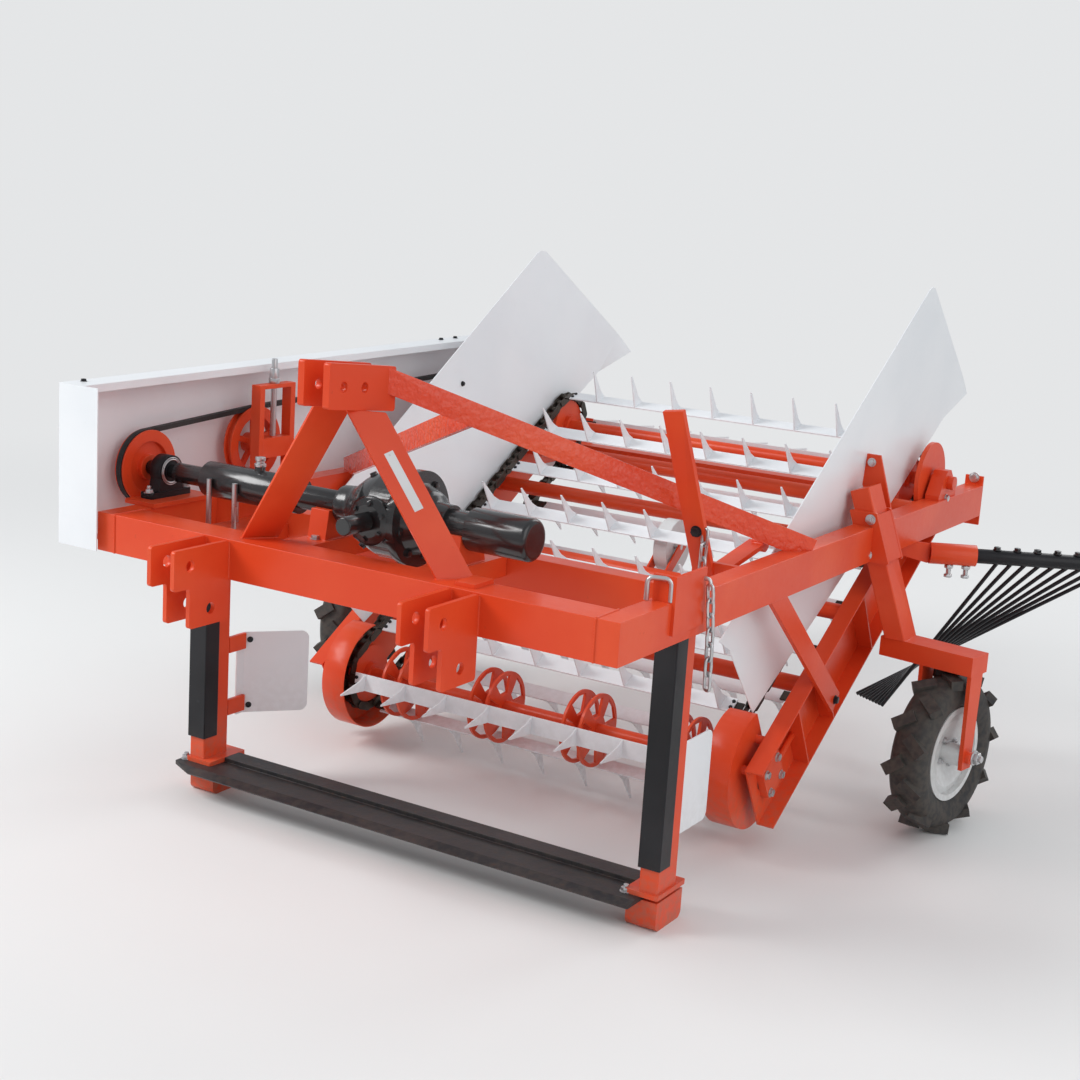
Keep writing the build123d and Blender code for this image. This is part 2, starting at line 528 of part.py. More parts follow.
with BuildPart() as crop_shields:
    for name, side, toe in (("left", -1, 0.85), ("right", 1, 0.0)):
        face = LEG_INNER + TAB[0]
        start, bend, end = SHIELD_BEND
        toed = face - toe * (end - bend)
        with BuildSketch(Plane(origin=point(0, 0, SHIELD_HEIGHTS[0]))) as section:
            with BuildLine():
                Polyline(*[(side * x, y) for x, y in ((face, start), (face, bend), (toed, end), (toed + 4, end + 3 * toe),
                                                      (face + 4, bend + 3 * toe), (face + 4, start))], close=True)
            make_face()
        extrude(section.sketch, amount=SHIELD_HEIGHTS[1] - SHIELD_HEIGHTS[0])
    rear_corners = [edge for edge in crop_shields.edges().filter_by(Plane.XY)
                    if edge.length < 6 and edge.center().Y > FRONT + SHIELD_BEND[2] - 2]
    fillet(rear_corners, 22)
save(crop_shields, "crop_shields")

# The loop that the chains and slats follow, and a plane at any distance along it
LOOP_LENGTH = 2 * ELEVATOR_LENGTH + 2 * pi * CHAIN_RADIUS


def loop_plane(distance):
    """Return the plane at a distance round the loop: x across, y the way it travels, z outwards."""
    half = ELEVATOR_LENGTH + pi * CHAIN_RADIUS
    run = distance % LOOP_LENGTH
    returning = run >= half
    run -= half * returning
    turn = max(0, run - ELEVATOR_LENGTH) / CHAIN_RADIUS + pi * returning
    straight = min(run, ELEVATOR_LENGTH)
    along = ELEVATOR_LENGTH - straight if returning else straight
    origin = sloped(0, along + CHAIN_RADIUS * sin(turn), CHAIN_RADIUS * cos(turn))
    outward = sloped(0, sin(turn), cos(turn)) - sloped(0, 0, 0)
    return Plane(origin=origin, x_dir=(1, 0, 0), z_dir=outward)


# Side channels with the lower bearings, hung from the side beams on flat struts
CHANNEL_FRONT = -90
CHANNEL_END = ELEVATOR_LENGTH + 125
CHANNEL_WALL = 6
STIFFENERS = (150, 330, 620)
SLOT_LENGTH = 110
for name, side in SIDES:
    with BuildPart() as side_channel:
        web_outline = ((CHANNEL_FRONT, CHANNEL_LOW), (CHANNEL_END, CHANNEL_LOW), (CHANNEL_END, CHANNEL_HIGH), (CHANNEL_FRONT, CHANNEL_HIGH))
        plate(slope_plane(side * (CHANNEL_WEB + CHANNEL_WALL / 2)), web_outline, CHANNEL_WALL)
        with BuildSketch(slope_plane(side * CHANNEL_WEB)) as slot:
            SlotOverall(SLOT_LENGTH, SHAFT_DIAMETER + 2)
        extrude(slot.sketch, amount=2 * CHANNEL_WALL, both=True, mode=Mode.SUBTRACT)
        flange_middle = slope_plane(side * (CHANNEL_WEB + CHANNEL_FLANGE / 2))
        for edge in (CHANNEL_LOW, CHANNEL_HIGH - CHANNEL_WALL):
            flange = ((CHANNEL_FRONT, edge), (CHANNEL_END, edge), (CHANNEL_END, edge + CHANNEL_WALL), (CHANNEL_FRONT, edge + CHANNEL_WALL))
            plate(flange_middle, flange, CHANNEL_FLANGE)
        for along in STIFFENERS:
            rib = ((along, CHANNEL_LOW), (along + CHANNEL_WALL, CHANNEL_LOW), (along + CHANNEL_WALL, CHANNEL_HIGH),
                   (along, CHANNEL_HIGH))
            plate(flange_middle, rib, CHANNEL_FLANGE)
        split(bisect_by=Plane.XY.offset(BEAM_LOW), keep=Keep.BOTTOM)
    save(side_channel, f"side_channel_{name}")

STRUT = (62, 12)
with BuildPart() as channel_struts:
    for name, side in SIDES:
        x = side * (CHANNEL_WEB + CHANNEL_FLANGE + STRUT[1] / 2)
        flat_bar(point(x, LOWER_BEHIND - 247, BEAM_LOW + 80), point(x, LOWER_BEHIND + 313, LOWER_HEIGHT + 134), *STRUT, (0, 1, 1))
    split(bisect_by=Plane.XY.offset(BEAM_LOW), keep=Keep.BOTTOM)
save(channel_struts, "channel_struts")

BEARING_PLATE = 100
BEARING_WIDTH = 22
TOP_BEARING_X = (INSIDE + OUTSIDE) / 2
with BuildPart() as shaft_bearings:
    for name, side in SIDES:
        middle = CHANNEL_WEB + CHANNEL_WALL + BEARING_WIDTH / 2
        half = BEARING_PLATE / 2
        square = ((-half, -half), (half, -half), (half, half), (-half, half))
        plate(slope_plane(side * middle), square, BEARING_WIDTH, edge=12, holes=((0, 0, SHAFT_DIAMETER),))
        rod(sloped(side * middle, half, 0), sloped(side * middle, STIFFENERS[0], 0), 16)
        # Bearing housing of the upper shaft on the side beam
        base = ((TOP_BEHIND - 75, BEAM_TOP), (TOP_BEHIND + 75, BEAM_TOP), (TOP_BEHIND + 75, BEAM_TOP + 14),
                (TOP_BEHIND + 34, TOP_HEIGHT + 20), (TOP_BEHIND + 16, TOP_HEIGHT + 38), (TOP_BEHIND - 16, TOP_HEIGHT + 38),
                (TOP_BEHIND - 34, TOP_HEIGHT + 20), (TOP_BEHIND - 75, BEAM_TOP + 14))
        plate(side_plane(side * TOP_BEARING_X), base, 44, holes=((TOP_BEHIND, TOP_HEIGHT, SHAFT_DIAMETER),))
save(shaft_bearings, "shaft_bearings")

# Lower shaft with a sprocket under each chain and four open spiders under the slats
SPROCKET_RADIUS = CHAIN_RADIUS - CHAIN_HEIGHT / 2
SPIDER_XS = [share * CHAIN_X for share in (-0.75, -0.25, 0.25, 0.75)]
SPIDER_RADIUS = 106
SPIDER_SPACING = 56
SPIDER_WALL = 8
SPIDER_WINDOWS = 5
SPIDER_WINDOW = ((40, -14), (88, -38), (96, 0), (88, 38), (40, 14))
SHAFT_END = CHANNEL_WEB + CHANNEL_WALL + BEARING_WIDTH
with BuildPart() as lower_shaft:
    rod(sloped(-SHAFT_END, 0, 0), sloped(SHAFT_END, 0, 0), SHAFT_DIAMETER)
    for x in (-CHAIN_X, CHAIN_X):
        rod(sloped(x - 6, 0, 0), sloped(x + 6, 0, 0), 2 * SPROCKET_RADIUS)
        rod(sloped(x - 22, 0, 0), sloped(x + 22, 0, 0), 70)
    for x in SPIDER_XS:
        rod(sloped(x - SPIDER_SPACING / 2, 0, 0), sloped(x + SPIDER_SPACING / 2, 0, 0), 62)
        rod(sloped(x, 0, 0), sloped(x, 0, 46), 18)
        for offset_x in (-SPIDER_SPACING / 2, SPIDER_SPACING / 2):
            with BuildSketch(slope_plane(x + offset_x)) as disc:
                Circle(SPIDER_RADIUS)
                for window in range(SPIDER_WINDOWS):
                    with BuildLine():
                        Polyline(*[Vector(*corner).rotate(Axis.Z, window * 360 / SPIDER_WINDOWS)
                                   for corner in SPIDER_WINDOW], close=True)
                    make_face(mode=Mode.SUBTRACT)
                Circle(24)
            extrude(disc.sketch, amount=SPIDER_WALL / 2, both=True)
save(lower_shaft, "lower_shaft")

UPPER_SHAFT_RIGHT = OUTSIDE + 12
TOP_DISC_RADIUS = 118
with BuildPart() as upper_shaft:
    rod(sloped(BELT_X - 24, ELEVATOR_LENGTH, 0), sloped(UPPER_SHAFT_RIGHT, ELEVATOR_LENGTH, 0), SHAFT_DIAMETER)
    for x in (-CHAIN_X, CHAIN_X):
        rod(sloped(x - 6, ELEVATOR_LENGTH, 0), sloped(x + 6, ELEVATOR_LENGTH, 0), 2 * SPROCKET_RADIUS)
        rod(sloped(x - 20, ELEVATOR_LENGTH, 0), sloped(x + 20, ELEVATOR_LENGTH, 0), 70)
    rod(sloped(INSIDE - 16, ELEVATOR_LENGTH, 0), sloped(INSIDE - 2, ELEVATOR_LENGTH, 0), 2 * TOP_DISC_RADIUS)
save(upper_shaft, "upper_shaft")

# Two roller chains with raised outer links, and the slats' seats inside them
LINK_COUNT = 42
LINK_LENGTH = 48
LINK_WIDTH = 30
SEAT_REACH = 50
SLAT_START = 105
slat_stations = [loop_plane(SLAT_START + slat * LOOP_LENGTH / SLAT_COUNT) for slat in range(SLAT_COUNT)]
link_stations = [loop_plane(link * LOOP_LENGTH / LINK_COUNT) for link in range(LINK_COUNT)]
for name, side in SIDES:
    with BuildPart() as elevator_chain:
        with BuildSketch(slope_plane(side * CHAIN_X)) as loop:
            for along in (0, ELEVATOR_LENGTH):
                with Locations((along, 0)):
                    Circle(CHAIN_RADIUS + CHAIN_HEIGHT / 2 - 5)
            make_hull()
            offset(amount=10 - CHAIN_HEIGHT, mode=Mode.SUBTRACT)
        extrude(loop.sketch, amount=CHAIN_WIDTH / 2, both=True)
        with BuildSketch(*[station.offset(-CHAIN_HEIGHT / 2) for station in link_stations]) as outer_links:
            with Locations((side * CHAIN_X, 0)):
                Rectangle(LINK_WIDTH, LINK_LENGTH)
        extrude(outer_links.sketch, amount=CHAIN_HEIGHT)
        with BuildSketch(*[station.offset(CHAIN_HEIGHT / 2 - SLAT_THICKNESS) for station in slat_stations]) as seats:
            with Locations((side * (CHAIN_X - SEAT_REACH / 2), 0)):
                Rectangle(SEAT_REACH, SLAT_WIDTH - 16)
        extrude(seats.sketch, amount=SLAT_THICKNESS)
    save(elevator_chain, f"elevator_chain_{name}")

# Slats across the chains, each with a row of upright teeth, every other row set over by half a pitch
TOOTH_FOOT = SLAT_WIDTH / 2
TOOTH_OUTLINE = ((-TOOTH_FOOT, 0), (TOOTH_FOOT, 0), (TOOTH_FOOT - 18, 28), (-TOOTH_FOOT + 4, TOOTH_LENGTH),
                 (-TOOTH_FOOT, TOOTH_LENGTH))
seats = [station.offset(CHAIN_HEIGHT / 2).location for station in slat_stations]
with BuildPart() as slat:
    with BuildSketch() as face:
        Rectangle(SLAT_LENGTH, SLAT_WIDTH)
    extrude(face.sketch, amount=SLAT_THICKNESS)
with BuildPart() as elevator_slats:
    add([seat * slat.part for seat in seats])
save(elevator_slats, "elevator_slats")

combs = []
for shift in (TOOTH_PITCH / 4, -TOOTH_PITCH / 4):
    places = [(tooth - (TEETH_PER_SLAT - 1) / 2) * TOOTH_PITCH + shift for tooth in range(TEETH_PER_SLAT)]
    with BuildPart() as comb:
        with BuildSketch(*[Plane.YZ.offset(x) for x in places]) as teeth:
            with BuildLine():
                Polyline(*[(along, out + SLAT_THICKNESS) for along, out in TOOTH_OUTLINE], close=True)
            make_face()
        extrude(teeth.sketch, amount=TOOTH_THICKNESS / 2, both=True)
    combs.append(comb.part)
with BuildPart() as elevator_teeth:
    add([seat * combs[number % 2] for number, seat in enumerate(seats)])
save(elevator_teeth, "elevator_teeth")

# Open drum shields round the lower turn, with a flat lip above
SHIELD_RADIUS = 162
SHIELD_OUTER = CHANNEL_WEB - 27
SHIELD_WIDTH = 80
SHIELD_REAR = 70
with BuildPart() as drum_shields:
    for name, side in SIDES:
        for x_middle, thickness, rim in ((SHIELD_OUTER - SHEET / 2, SHEET, False),
                                         (SHIELD_OUTER - SHIELD_WIDTH / 2, SHIELD_WIDTH, True)):
            with BuildSketch(slope_plane(side * x_middle)) as outline:
                Circle(SHIELD_RADIUS)
                if rim:
                    Circle(SHIELD_RADIUS - SHEET, mode=Mode.SUBTRACT)
                else:
                    Circle(SHAFT_DIAMETER / 2, mode=Mode.SUBTRACT)
                with Locations((SHIELD_REAR + SHIELD_RADIUS, 0)):
                    Rectangle(2 * SHIELD_RADIUS, 3 * SHIELD_RADIUS, mode=Mode.SUBTRACT)
            extrude(outline.sketch, amount=thickness / 2, both=True)
        for along, above in ((-55, 60), (40, -80), (40, 80)):
            rod(sloped(side * SHIELD_OUTER, along, above), sloped(side * CHANNEL_WEB, along, above), 24)
save(drum_shields, "drum_shields")

CROSS_TUBES = [ELEVATOR_LENGTH * share for share in (0.26, 0.5, 0.73, 0.886)]
CROSS_TUBE_DIAMETER = 48
ROLLER_X = 50
ROLLER_ALONG = CROSS_TUBES[1] + 124
ROLLER_ABOVE = 22
ROLLER_DIAMETER = 165
with BuildPart() as cross_tubes:
    block((-INSIDE, INSIDE), (REAR_TUBE_BEHIND, REAR_TUBE_BEHIND + CROSS_BEAM_DEPTH), (BEAM_LOW, BEAM_LOW + 60))
    for along in CROSS_TUBES:
        end = CHANNEL_WEB if sloped(0, along, 0).Z < BEAM_LOW else INSIDE
        rod(sloped(-end, along, 0), sloped(end, along, 0), CROSS_TUBE_DIAMETER)
    # Arms of the guide roller
    for x in (ROLLER_X - 32, ROLLER_X + 32):
        arm = ((CROSS_TUBES[1], -14), (ROLLER_ALONG + 24, ROLLER_ABOVE - 20), (ROLLER_ALONG + 24, ROLLER_ABOVE + 20),
               (CROSS_TUBES[1], 18))
        plate(slope_plane(x), arm, 6, holes=((ROLLER_ALONG, ROLLER_ABOVE, 20),))
save(cross_tubes, "cross_tubes")

# White side deflectors that lean outwards above the chains
DEFLECTOR_X = CHAIN_X + 25
DEFLECTOR_LEAN = 4.6
DEFLECTOR_BASE = 90
# (along, above) corners from the lower front tip, round the tail, to the upper front
DEFLECTOR = ((81, 131), (352, 109), (1140, 42), (1559, 25), (1780, -40), (1741, 58), (1480, 590), (-49, 524), (-3, 450))
DEFLECTOR_ROUND = 60
tilt = radians(DEFLECTOR_LEAN)
for name, side in SIDES:
    slope = slope_plane(0)
    up = slope.y_dir
    normal = Vector(1, 0, 0) * cos(tilt) - up * (side * sin(tilt))
    face = Plane(origin=sloped(side * DEFLECTOR_X, 0, DEFLECTOR_BASE), x_dir=slope.x_dir, z_dir=normal)
    with BuildPart() as deflector:
        with BuildSketch(face) as outline:
            with BuildLine():
                Polyline(*[(along, above - DEFLECTOR_BASE) for along, above in DEFLECTOR], close=True)
            make_face()
            fillet(outline.vertices().sort_by(Axis.Y)[-1], DEFLECTOR_ROUND)
        extrude(outline.sketch, amount=SHEET / 2, both=True)
    save(deflector, f"deflector_{name}")

# Stays of the sheet parts: spacers and straps for the deflectors, brackets for the belt guard
SPACERS = ((1000, 785), (1320, 785))
SPACER_DIAMETER = 30
STRAP_BEHIND = 1590
STRAP_THICKNESS = 8
STRAP_TOP = 1012
GUARD_STAYS = (60, 2260)


def deflector_face(behind, height):
    """Return how far out the deflector's outer face lies at a place on its side."""
    above = (height - LOWER_HEIGHT) * RUN - (behind - LOWER_BEHIND) * RISE
    return DEFLECTOR_X + tan(tilt) * (above - DEFLECTOR_BASE) + SHEET / 2 / cos(tilt)


with BuildPart() as panel_stays:
    for name, side in SIDES:
        for behind, height in SPACERS:
            seat = point(side * deflector_face(behind, height), behind, height)
            outwards = Vector(side * cos(tilt), 0, 0) - up * sin(tilt)
            rod(seat, seat + outwards * 60, SPACER_DIAMETER)
    split(bisect_by=Plane.YZ.offset(INSIDE), keep=Keep.BOTTOM)
    split(bisect_by=Plane.YZ.offset(-INSIDE), keep=Keep.TOP)
    for name, side in SIDES:
        strap = Plane(origin=point(0, STRAP_BEHIND, 0), x_dir=(side, 0, 0), z_dir=(0, -side, 0))
        high_seat, low_seat = [deflector_face(STRAP_BEHIND, z) + 0.2 for z in (STRAP_TOP, STRAP_TOP - 90)]
        outline = ((INSIDE + 4, BEAM_TOP), (OUTSIDE - 4, BEAM_TOP), (OUTSIDE - 10, BEAM_TOP + 40),
                   (high_seat + 40, STRAP_TOP), (high_seat, STRAP_TOP), (low_seat, STRAP_TOP - 90))
        plate(strap, outline, STRAP_THICKNESS)
    for behind in GUARD_STAYS:
        block((GUARD_X + SHEET, -OUTSIDE), (behind, behind + 30), (BEAM_LOW + 8, BEAM_LOW + 14))
        block((GUARD_X + SHEET, GUARD_X + SHEET + 6), (behind, behind + 30), (BEAM_LOW + 14, BEAM_LOW + 60))
save(panel_stays, "panel_stays")

# A leaning lever on a bracket inside the right side beam, and a plate for its chain on the outside
LEVER_FOOT = (INSIDE - 93, 706, BEAM_TOP - 42)
LEVER_HEAD = (INSIDE - 160, 600, BEAM_TOP + 373)
LEVER = (56, 14)
CHAIN_PLATE_ENDS = (233, 384)
with BuildPart() as lift_lever:
    flat_bar(point(*LEVER_FOOT), point(*LEVER_HEAD), *LEVER, (1, 0, 0))
    foot_x, foot_behind, foot_height = LEVER_FOOT
    plate(Plane(origin=point(0, foot_behind + 2, 0), x_dir=(1, 0, 0), z_dir=(0, -1, 0)),
          ((foot_x - 34, BEAM_TOP - 76), (INSIDE, BEAM_TOP - 76), (INSIDE, BEAM_TOP - 4), (foot_x - 34, BEAM_TOP - 4)), 16)
    link_end = (foot_x + 28, foot_behind + 244, BEAM_TOP + 10)
    flat_bar(point(foot_x + 20, foot_behind, foot_height + 6), point(*link_end), 50, 12, (1, 0, 0))
    rod(point(link_end[0] - 10, *link_end[1:]), point(link_end[0] + 22, *link_end[1:]), 44)
    # Chain plate on the outside of the right side beam
    block((OUTSIDE, OUTSIDE + 8), CHAIN_PLATE_ENDS, (BEAM_TOP - 74, BEAM_TOP + 61))
    block((OUTSIDE - 50, OUTSIDE), (CHAIN_PLATE_ENDS[0], CHAIN_PLATE_ENDS[0] + 12), (BEAM_TOP, BEAM_TOP + 61))
save(lift_lever, "lift_lever")

# A guide roller under the upper run, on two arms from a cross tube
with BuildPart() as guide_roller:
    rod(sloped(ROLLER_X - 22, ROLLER_ALONG, ROLLER_ABOVE), sloped(ROLLER_X + 22, ROLLER_ALONG, ROLLER_ABOVE), ROLLER_DIAMETER)
    rod(sloped(ROLLER_X - 22, ROLLER_ALONG, ROLLER_ABOVE), sloped(ROLLER_X - 12, ROLLER_ALONG, ROLLER_ABOVE), 70,
        mode=Mode.SUBTRACT)
    rod(sloped(ROLLER_X + 12, ROLLER_ALONG, ROLLER_ABOVE), sloped(ROLLER_X + 22, ROLLER_ALONG, ROLLER_ABOVE), 70,
        mode=Mode.SUBTRACT)
    rod(sloped(ROLLER_X - 34, ROLLER_ALONG, ROLLER_ABOVE), sloped(ROLLER_X + 34, ROLLER_ALONG, ROLLER_ABOVE), 20)
save(guide_roller, "guide_roller")

# Gauge legs: a leaning post with a fork for the wheel, sliding in its sleeve
post_axis = Vector(sin(radians(POST_LEAN)), 0, -cos(radians(POST_LEAN)))
FORK_ARM_X = 74
FORK_ARM = (50, 12)
FORK_TOP = 523
FORK_LOW = 468
POST_TOP = 930
CROSS_REACH = (-205, 82)
wheel_facing = Vector(cos(radians(WHEEL_YAW)), -sin(radians(WHEEL_YAW)), 0)
wheel_centre = point(WHEEL_X, WHEEL_BEHIND, TYRE_RADIUS)
with BuildPart() as gauge_leg_right:
    start = point(POST_X - (POST_TOP - BEAM_TOP + BEAM_HEIGHT / 2) * tan(radians(POST_LEAN)),
                  POST_BEHIND, POST_TOP)
    end = start + post_axis * ((POST_TOP - FORK_TOP + 20) / cos(radians(POST_LEAN)))
    flat_bar(start, end, POST_DEPTH, POST_WIDTH, (0, 1, 0), edge=4)
    split(bisect_by=Plane.XY.offset(FORK_TOP), keep=Keep.TOP)
    fork = Plane(origin=(wheel_centre.X, wheel_centre.Y, FORK_LOW), x_dir=wheel_facing, z_dir=(0, 0, 1))
    with BuildSketch(fork) as crosspiece:
        with Locations(((CROSS_REACH[0] + CROSS_REACH[1]) / 2, 8)):
            Rectangle(CROSS_REACH[1] - CROSS_REACH[0], 92)
    extrude(crosspiece.sketch, amount=FORK_TOP - FORK_LOW)
    for x in (-FORK_ARM_X, FORK_ARM_X):
        arm = Plane(origin=wheel_centre + wheel_facing * x, x_dir=(sin(radians(WHEEL_YAW)), cos(radians(WHEEL_YAW)), 0),
                    z_dir=wheel_facing)
        high = FORK_LOW - TYRE_RADIUS
        corners = ((-FORK_ARM[0] / 2, -34), (FORK_ARM[0] / 2, -34), (FORK_ARM[0] / 2 + 12, high), (-FORK_ARM[0] / 2 - 6, high))
        plate(arm, corners, FORK_ARM[1])
    rod(wheel_centre - wheel_facing * (FORK_ARM_X + 20), wheel_centre + wheel_facing * (FORK_ARM_X + 20), AXLE_DIAMETER)
    for facing in (-1, 1):
        nut = wheel_centre + wheel_facing * (facing * (FORK_ARM_X + FORK_ARM[1] / 2))
        rod(nut, nut + wheel_facing * (facing * 13), 34)
save(gauge_leg_right, "gauge_leg_right")
with BuildPart() as gauge_leg_left:
    mirror(gauge_leg_right.part, about=Plane.YZ)
save(gauge_leg_left, "gauge_leg_left")

# Gauge wheels: a pressed rim on a hub and a lugged tyre
RIM_RADIUS = 134
RIM_WIDTH = 84
BEAD_RADIUS = 122
RIM_WALL = 4
HUB_RADIUS = 30
HUB_LENGTH = 2 * (FORK_ARM_X - FORK_ARM[1] / 2) - 2
wheel_plane = Plane(origin=wheel_centre, x_dir=(0, 0, 1), z_dir=wheel_facing)
half_rim = RIM_WIDTH / 2
with BuildPart() as wheel_rim_right:
    turned(wheel_plane, ((BEAD_RADIUS - RIM_WALL, -half_rim), (RIM_RADIUS, -half_rim), (RIM_RADIUS, -half_rim + RIM_WALL),
                         (BEAD_RADIUS, -half_rim + RIM_WALL), (BEAD_RADIUS, half_rim - RIM_WALL),
                         (RIM_RADIUS, half_rim - RIM_WALL), (RIM_RADIUS, half_rim), (BEAD_RADIUS - RIM_WALL, half_rim)))
    bore = AXLE_DIAMETER / 2 + TURNING_GAP
    turned(wheel_plane, ((bore, -HUB_LENGTH / 2), (HUB_RADIUS, -HUB_LENGTH / 2), (HUB_RADIUS, 6), (62, 12),
                         (96, 26), (BEAD_RADIUS - RIM_WALL, 20), (BEAD_RADIUS - RIM_WALL, 26), (96, 32), (58, 18),
                         (HUB_RADIUS, 12), (HUB_RADIUS, HUB_LENGTH / 2), (bore, HUB_LENGTH / 2)))
save(wheel_rim_right, "wheel_rim_right")
with BuildPart() as wheel_rim_left:
    mirror(wheel_rim_right.part, about=Plane.YZ)
save(wheel_rim_left, "wheel_rim_left")

LUG_HEIGHT = 14
LUG_COUNT = 11
LUG = (34, 66)
LUG_SLANT = 38
half_tyre = TYRE_WIDTH / 2
tread = TYRE_RADIUS - LUG_HEIGHT
with BuildPart() as wheel_tyre_right:
    # (radius, across) from the inner bead over the tread
    turned(wheel_plane, ((RIM_RADIUS, -half_rim + RIM_WALL), (RIM_RADIUS + 12, -half_rim - 4), (175, -half_tyre + 4),
                         (200, -half_tyre + 8), (tread - 5, -half_tyre + 20), (tread, -18), (tread, 18),
                         (tread - 5, half_tyre - 20), (200, half_tyre - 8), (175, half_tyre - 4),
                         (RIM_RADIUS + 12, half_rim + 4), (RIM_RADIUS, half_rim - RIM_WALL),
                         (BEAD_RADIUS, half_rim - RIM_WALL), (BEAD_RADIUS, -half_rim + RIM_WALL)))
    half_chord = LUG[1] / 2 * sin(radians(LUG_SLANT)) + LUG[0] / 2 * cos(radians(LUG_SLANT))
    lug_top = (TYRE_RADIUS ** 2 - half_chord ** 2) ** 0.5
    lug_planes = []
    for lug in range(LUG_COUNT):
        for facing in (-1, 1):
            turn = (lug + facing / 4) * 360 / LUG_COUNT
            radial = spun(wheel_plane, turn)
            centre = radial.origin + radial.x_dir * lug_top + radial.z_dir * (facing * half_tyre * 0.46)
            seat = Plane(origin=centre, x_dir=radial.z_dir, z_dir=-radial.x_dir)
            lug_planes.append(spun(seat, facing * LUG_SLANT))
    with BuildSketch(*lug_planes) as lugs:
        Rectangle(LUG[1], LUG[0])
    extrude(lugs.sketch, amount=2 * LUG_HEIGHT)
save(wheel_tyre_right, "wheel_tyre_right")
with BuildPart() as wheel_tyre_left:
    mirror(wheel_tyre_right.part, about=Plane.YZ)
save(wheel_tyre_left, "wheel_tyre_left")

# Windrowers: a round beam held in a socket under each side beam, with a comb of rods.
# The left socket hangs lower, clear of the belt.
SOCKET_START = (OUTSIDE + 31, 1852)
SOCKET_LENGTH = 138
SOCKET_BORE = WINDROWER_DIAMETER + 2 * TURNING_GAP
SOCKET_DIAMETER = 64
BEAM_REACH = 566
ROD_FIRST = 205
ROD_PITCH = 42
# Tips of the first and the last rod: (x, behind, height)
ROD_TIPS = ((OUTSIDE - 84, 1902, 185), (OUTSIDE - 216, 2033, 165))
for name, side, height in (("left", -1, WINDROWER_LEFT_HEIGHT), ("right", 1, WINDROWER_HEIGHT)):
    outward = Vector(side * cos(radians(WINDROWER_ANGLE)), sin(radians(WINDROWER_ANGLE)), 0)
    socket_start = point(side * SOCKET_START[0], SOCKET_START[1], height)
    socket_end = socket_start + outward * SOCKET_LENGTH
    drop = BEAM_LOW - height
    with BuildPart() as windrower_socket:
        gusset = Plane(origin=socket_start, x_dir=outward, z_dir=outward.cross(Vector(0, 0, 1)))
        hanger = ((-100, drop), (-38, drop), (40, 24), (40, -12), (-6, -30), (-100, drop - 40))
        plate(gusset, hanger, 12)
        rod(socket_start, socket_end, SOCKET_DIAMETER)
        rod(socket_start, socket_end, SOCKET_BORE, mode=Mode.SUBTRACT)
        for place in (0.45, 0.82):
            bolt = socket_start + outward * (SOCKET_LENGTH * place)
            rod(bolt - Vector(0, 0, SOCKET_BORE / 2 + 3), bolt - Vector(0, 0, SOCKET_DIAMETER / 2 + 34), 14)
    save(windrower_socket, f"windrower_socket_{name}")

    with BuildPart() as windrower:
        rod(socket_start + outward * 44, socket_start + outward * BEAM_REACH, WINDROWER_DIAMETER)
        for place in range(ROD_COUNT):
            share = place / (ROD_COUNT - 1)
            root = socket_start + outward * (ROD_FIRST + ROD_PITCH * place) - Vector(0, 0, WINDROWER_DIAMETER / 2 - 6)
            first, last = ROD_TIPS
            x, behind, low = [near + (far - near) * share for near, far in zip(first, last)]
            rod(root, point(side * x, behind, low), ROD_DIAMETER)
    save(windrower, f"windrower_{name}")
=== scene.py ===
"""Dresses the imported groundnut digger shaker: finishes, small hardware, floor, light and camera."""
import json
import logging
import math
from collections.abc import Callable, Iterable, Sequence
from dataclasses import dataclass, field
from enum import Enum

import bmesh
import bpy
from mathutils import Matrix, Vector


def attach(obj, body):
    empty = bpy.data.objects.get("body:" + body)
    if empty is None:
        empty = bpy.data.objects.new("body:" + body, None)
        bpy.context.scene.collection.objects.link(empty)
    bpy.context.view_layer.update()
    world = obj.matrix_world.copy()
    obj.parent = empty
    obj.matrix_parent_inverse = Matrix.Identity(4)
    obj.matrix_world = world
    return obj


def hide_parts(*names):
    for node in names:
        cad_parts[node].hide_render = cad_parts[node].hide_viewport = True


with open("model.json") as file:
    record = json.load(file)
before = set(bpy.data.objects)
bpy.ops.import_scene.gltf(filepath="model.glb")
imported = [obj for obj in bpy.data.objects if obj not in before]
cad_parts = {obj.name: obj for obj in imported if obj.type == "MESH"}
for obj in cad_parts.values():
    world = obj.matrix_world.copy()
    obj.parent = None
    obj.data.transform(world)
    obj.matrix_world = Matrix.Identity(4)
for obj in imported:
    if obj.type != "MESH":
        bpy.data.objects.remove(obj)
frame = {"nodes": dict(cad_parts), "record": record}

log = logging.getLogger("digger_shaker")

Point = tuple[float, float, float]
Tree = bpy.types.NodeTree
Socket = bpy.types.NodeSocket
Piece = bpy.types.Object
Colour = tuple[float, float, float]

# Distance from the front beam's front face to the origin, in metres
FRONT = -1.1695


def place(x: float, behind: float, height: float) -> Vector:
    """Returns a point in metres from millimetres across, behind the front face and above the ground."""
    return Vector((x / 1000, FRONT + behind / 1000, height / 1000))


# Colours of dust and of the backdrop, linear
DUST = (0.24, 0.19, 0.145)
BACKDROP = (0.78, 0.79, 0.80, 1)


class Coat(Enum):
    """The kinds of surface that the machine shows."""

    PAINT = "paint"
    STEEL = "steel"
    RUBBER = "rubber"


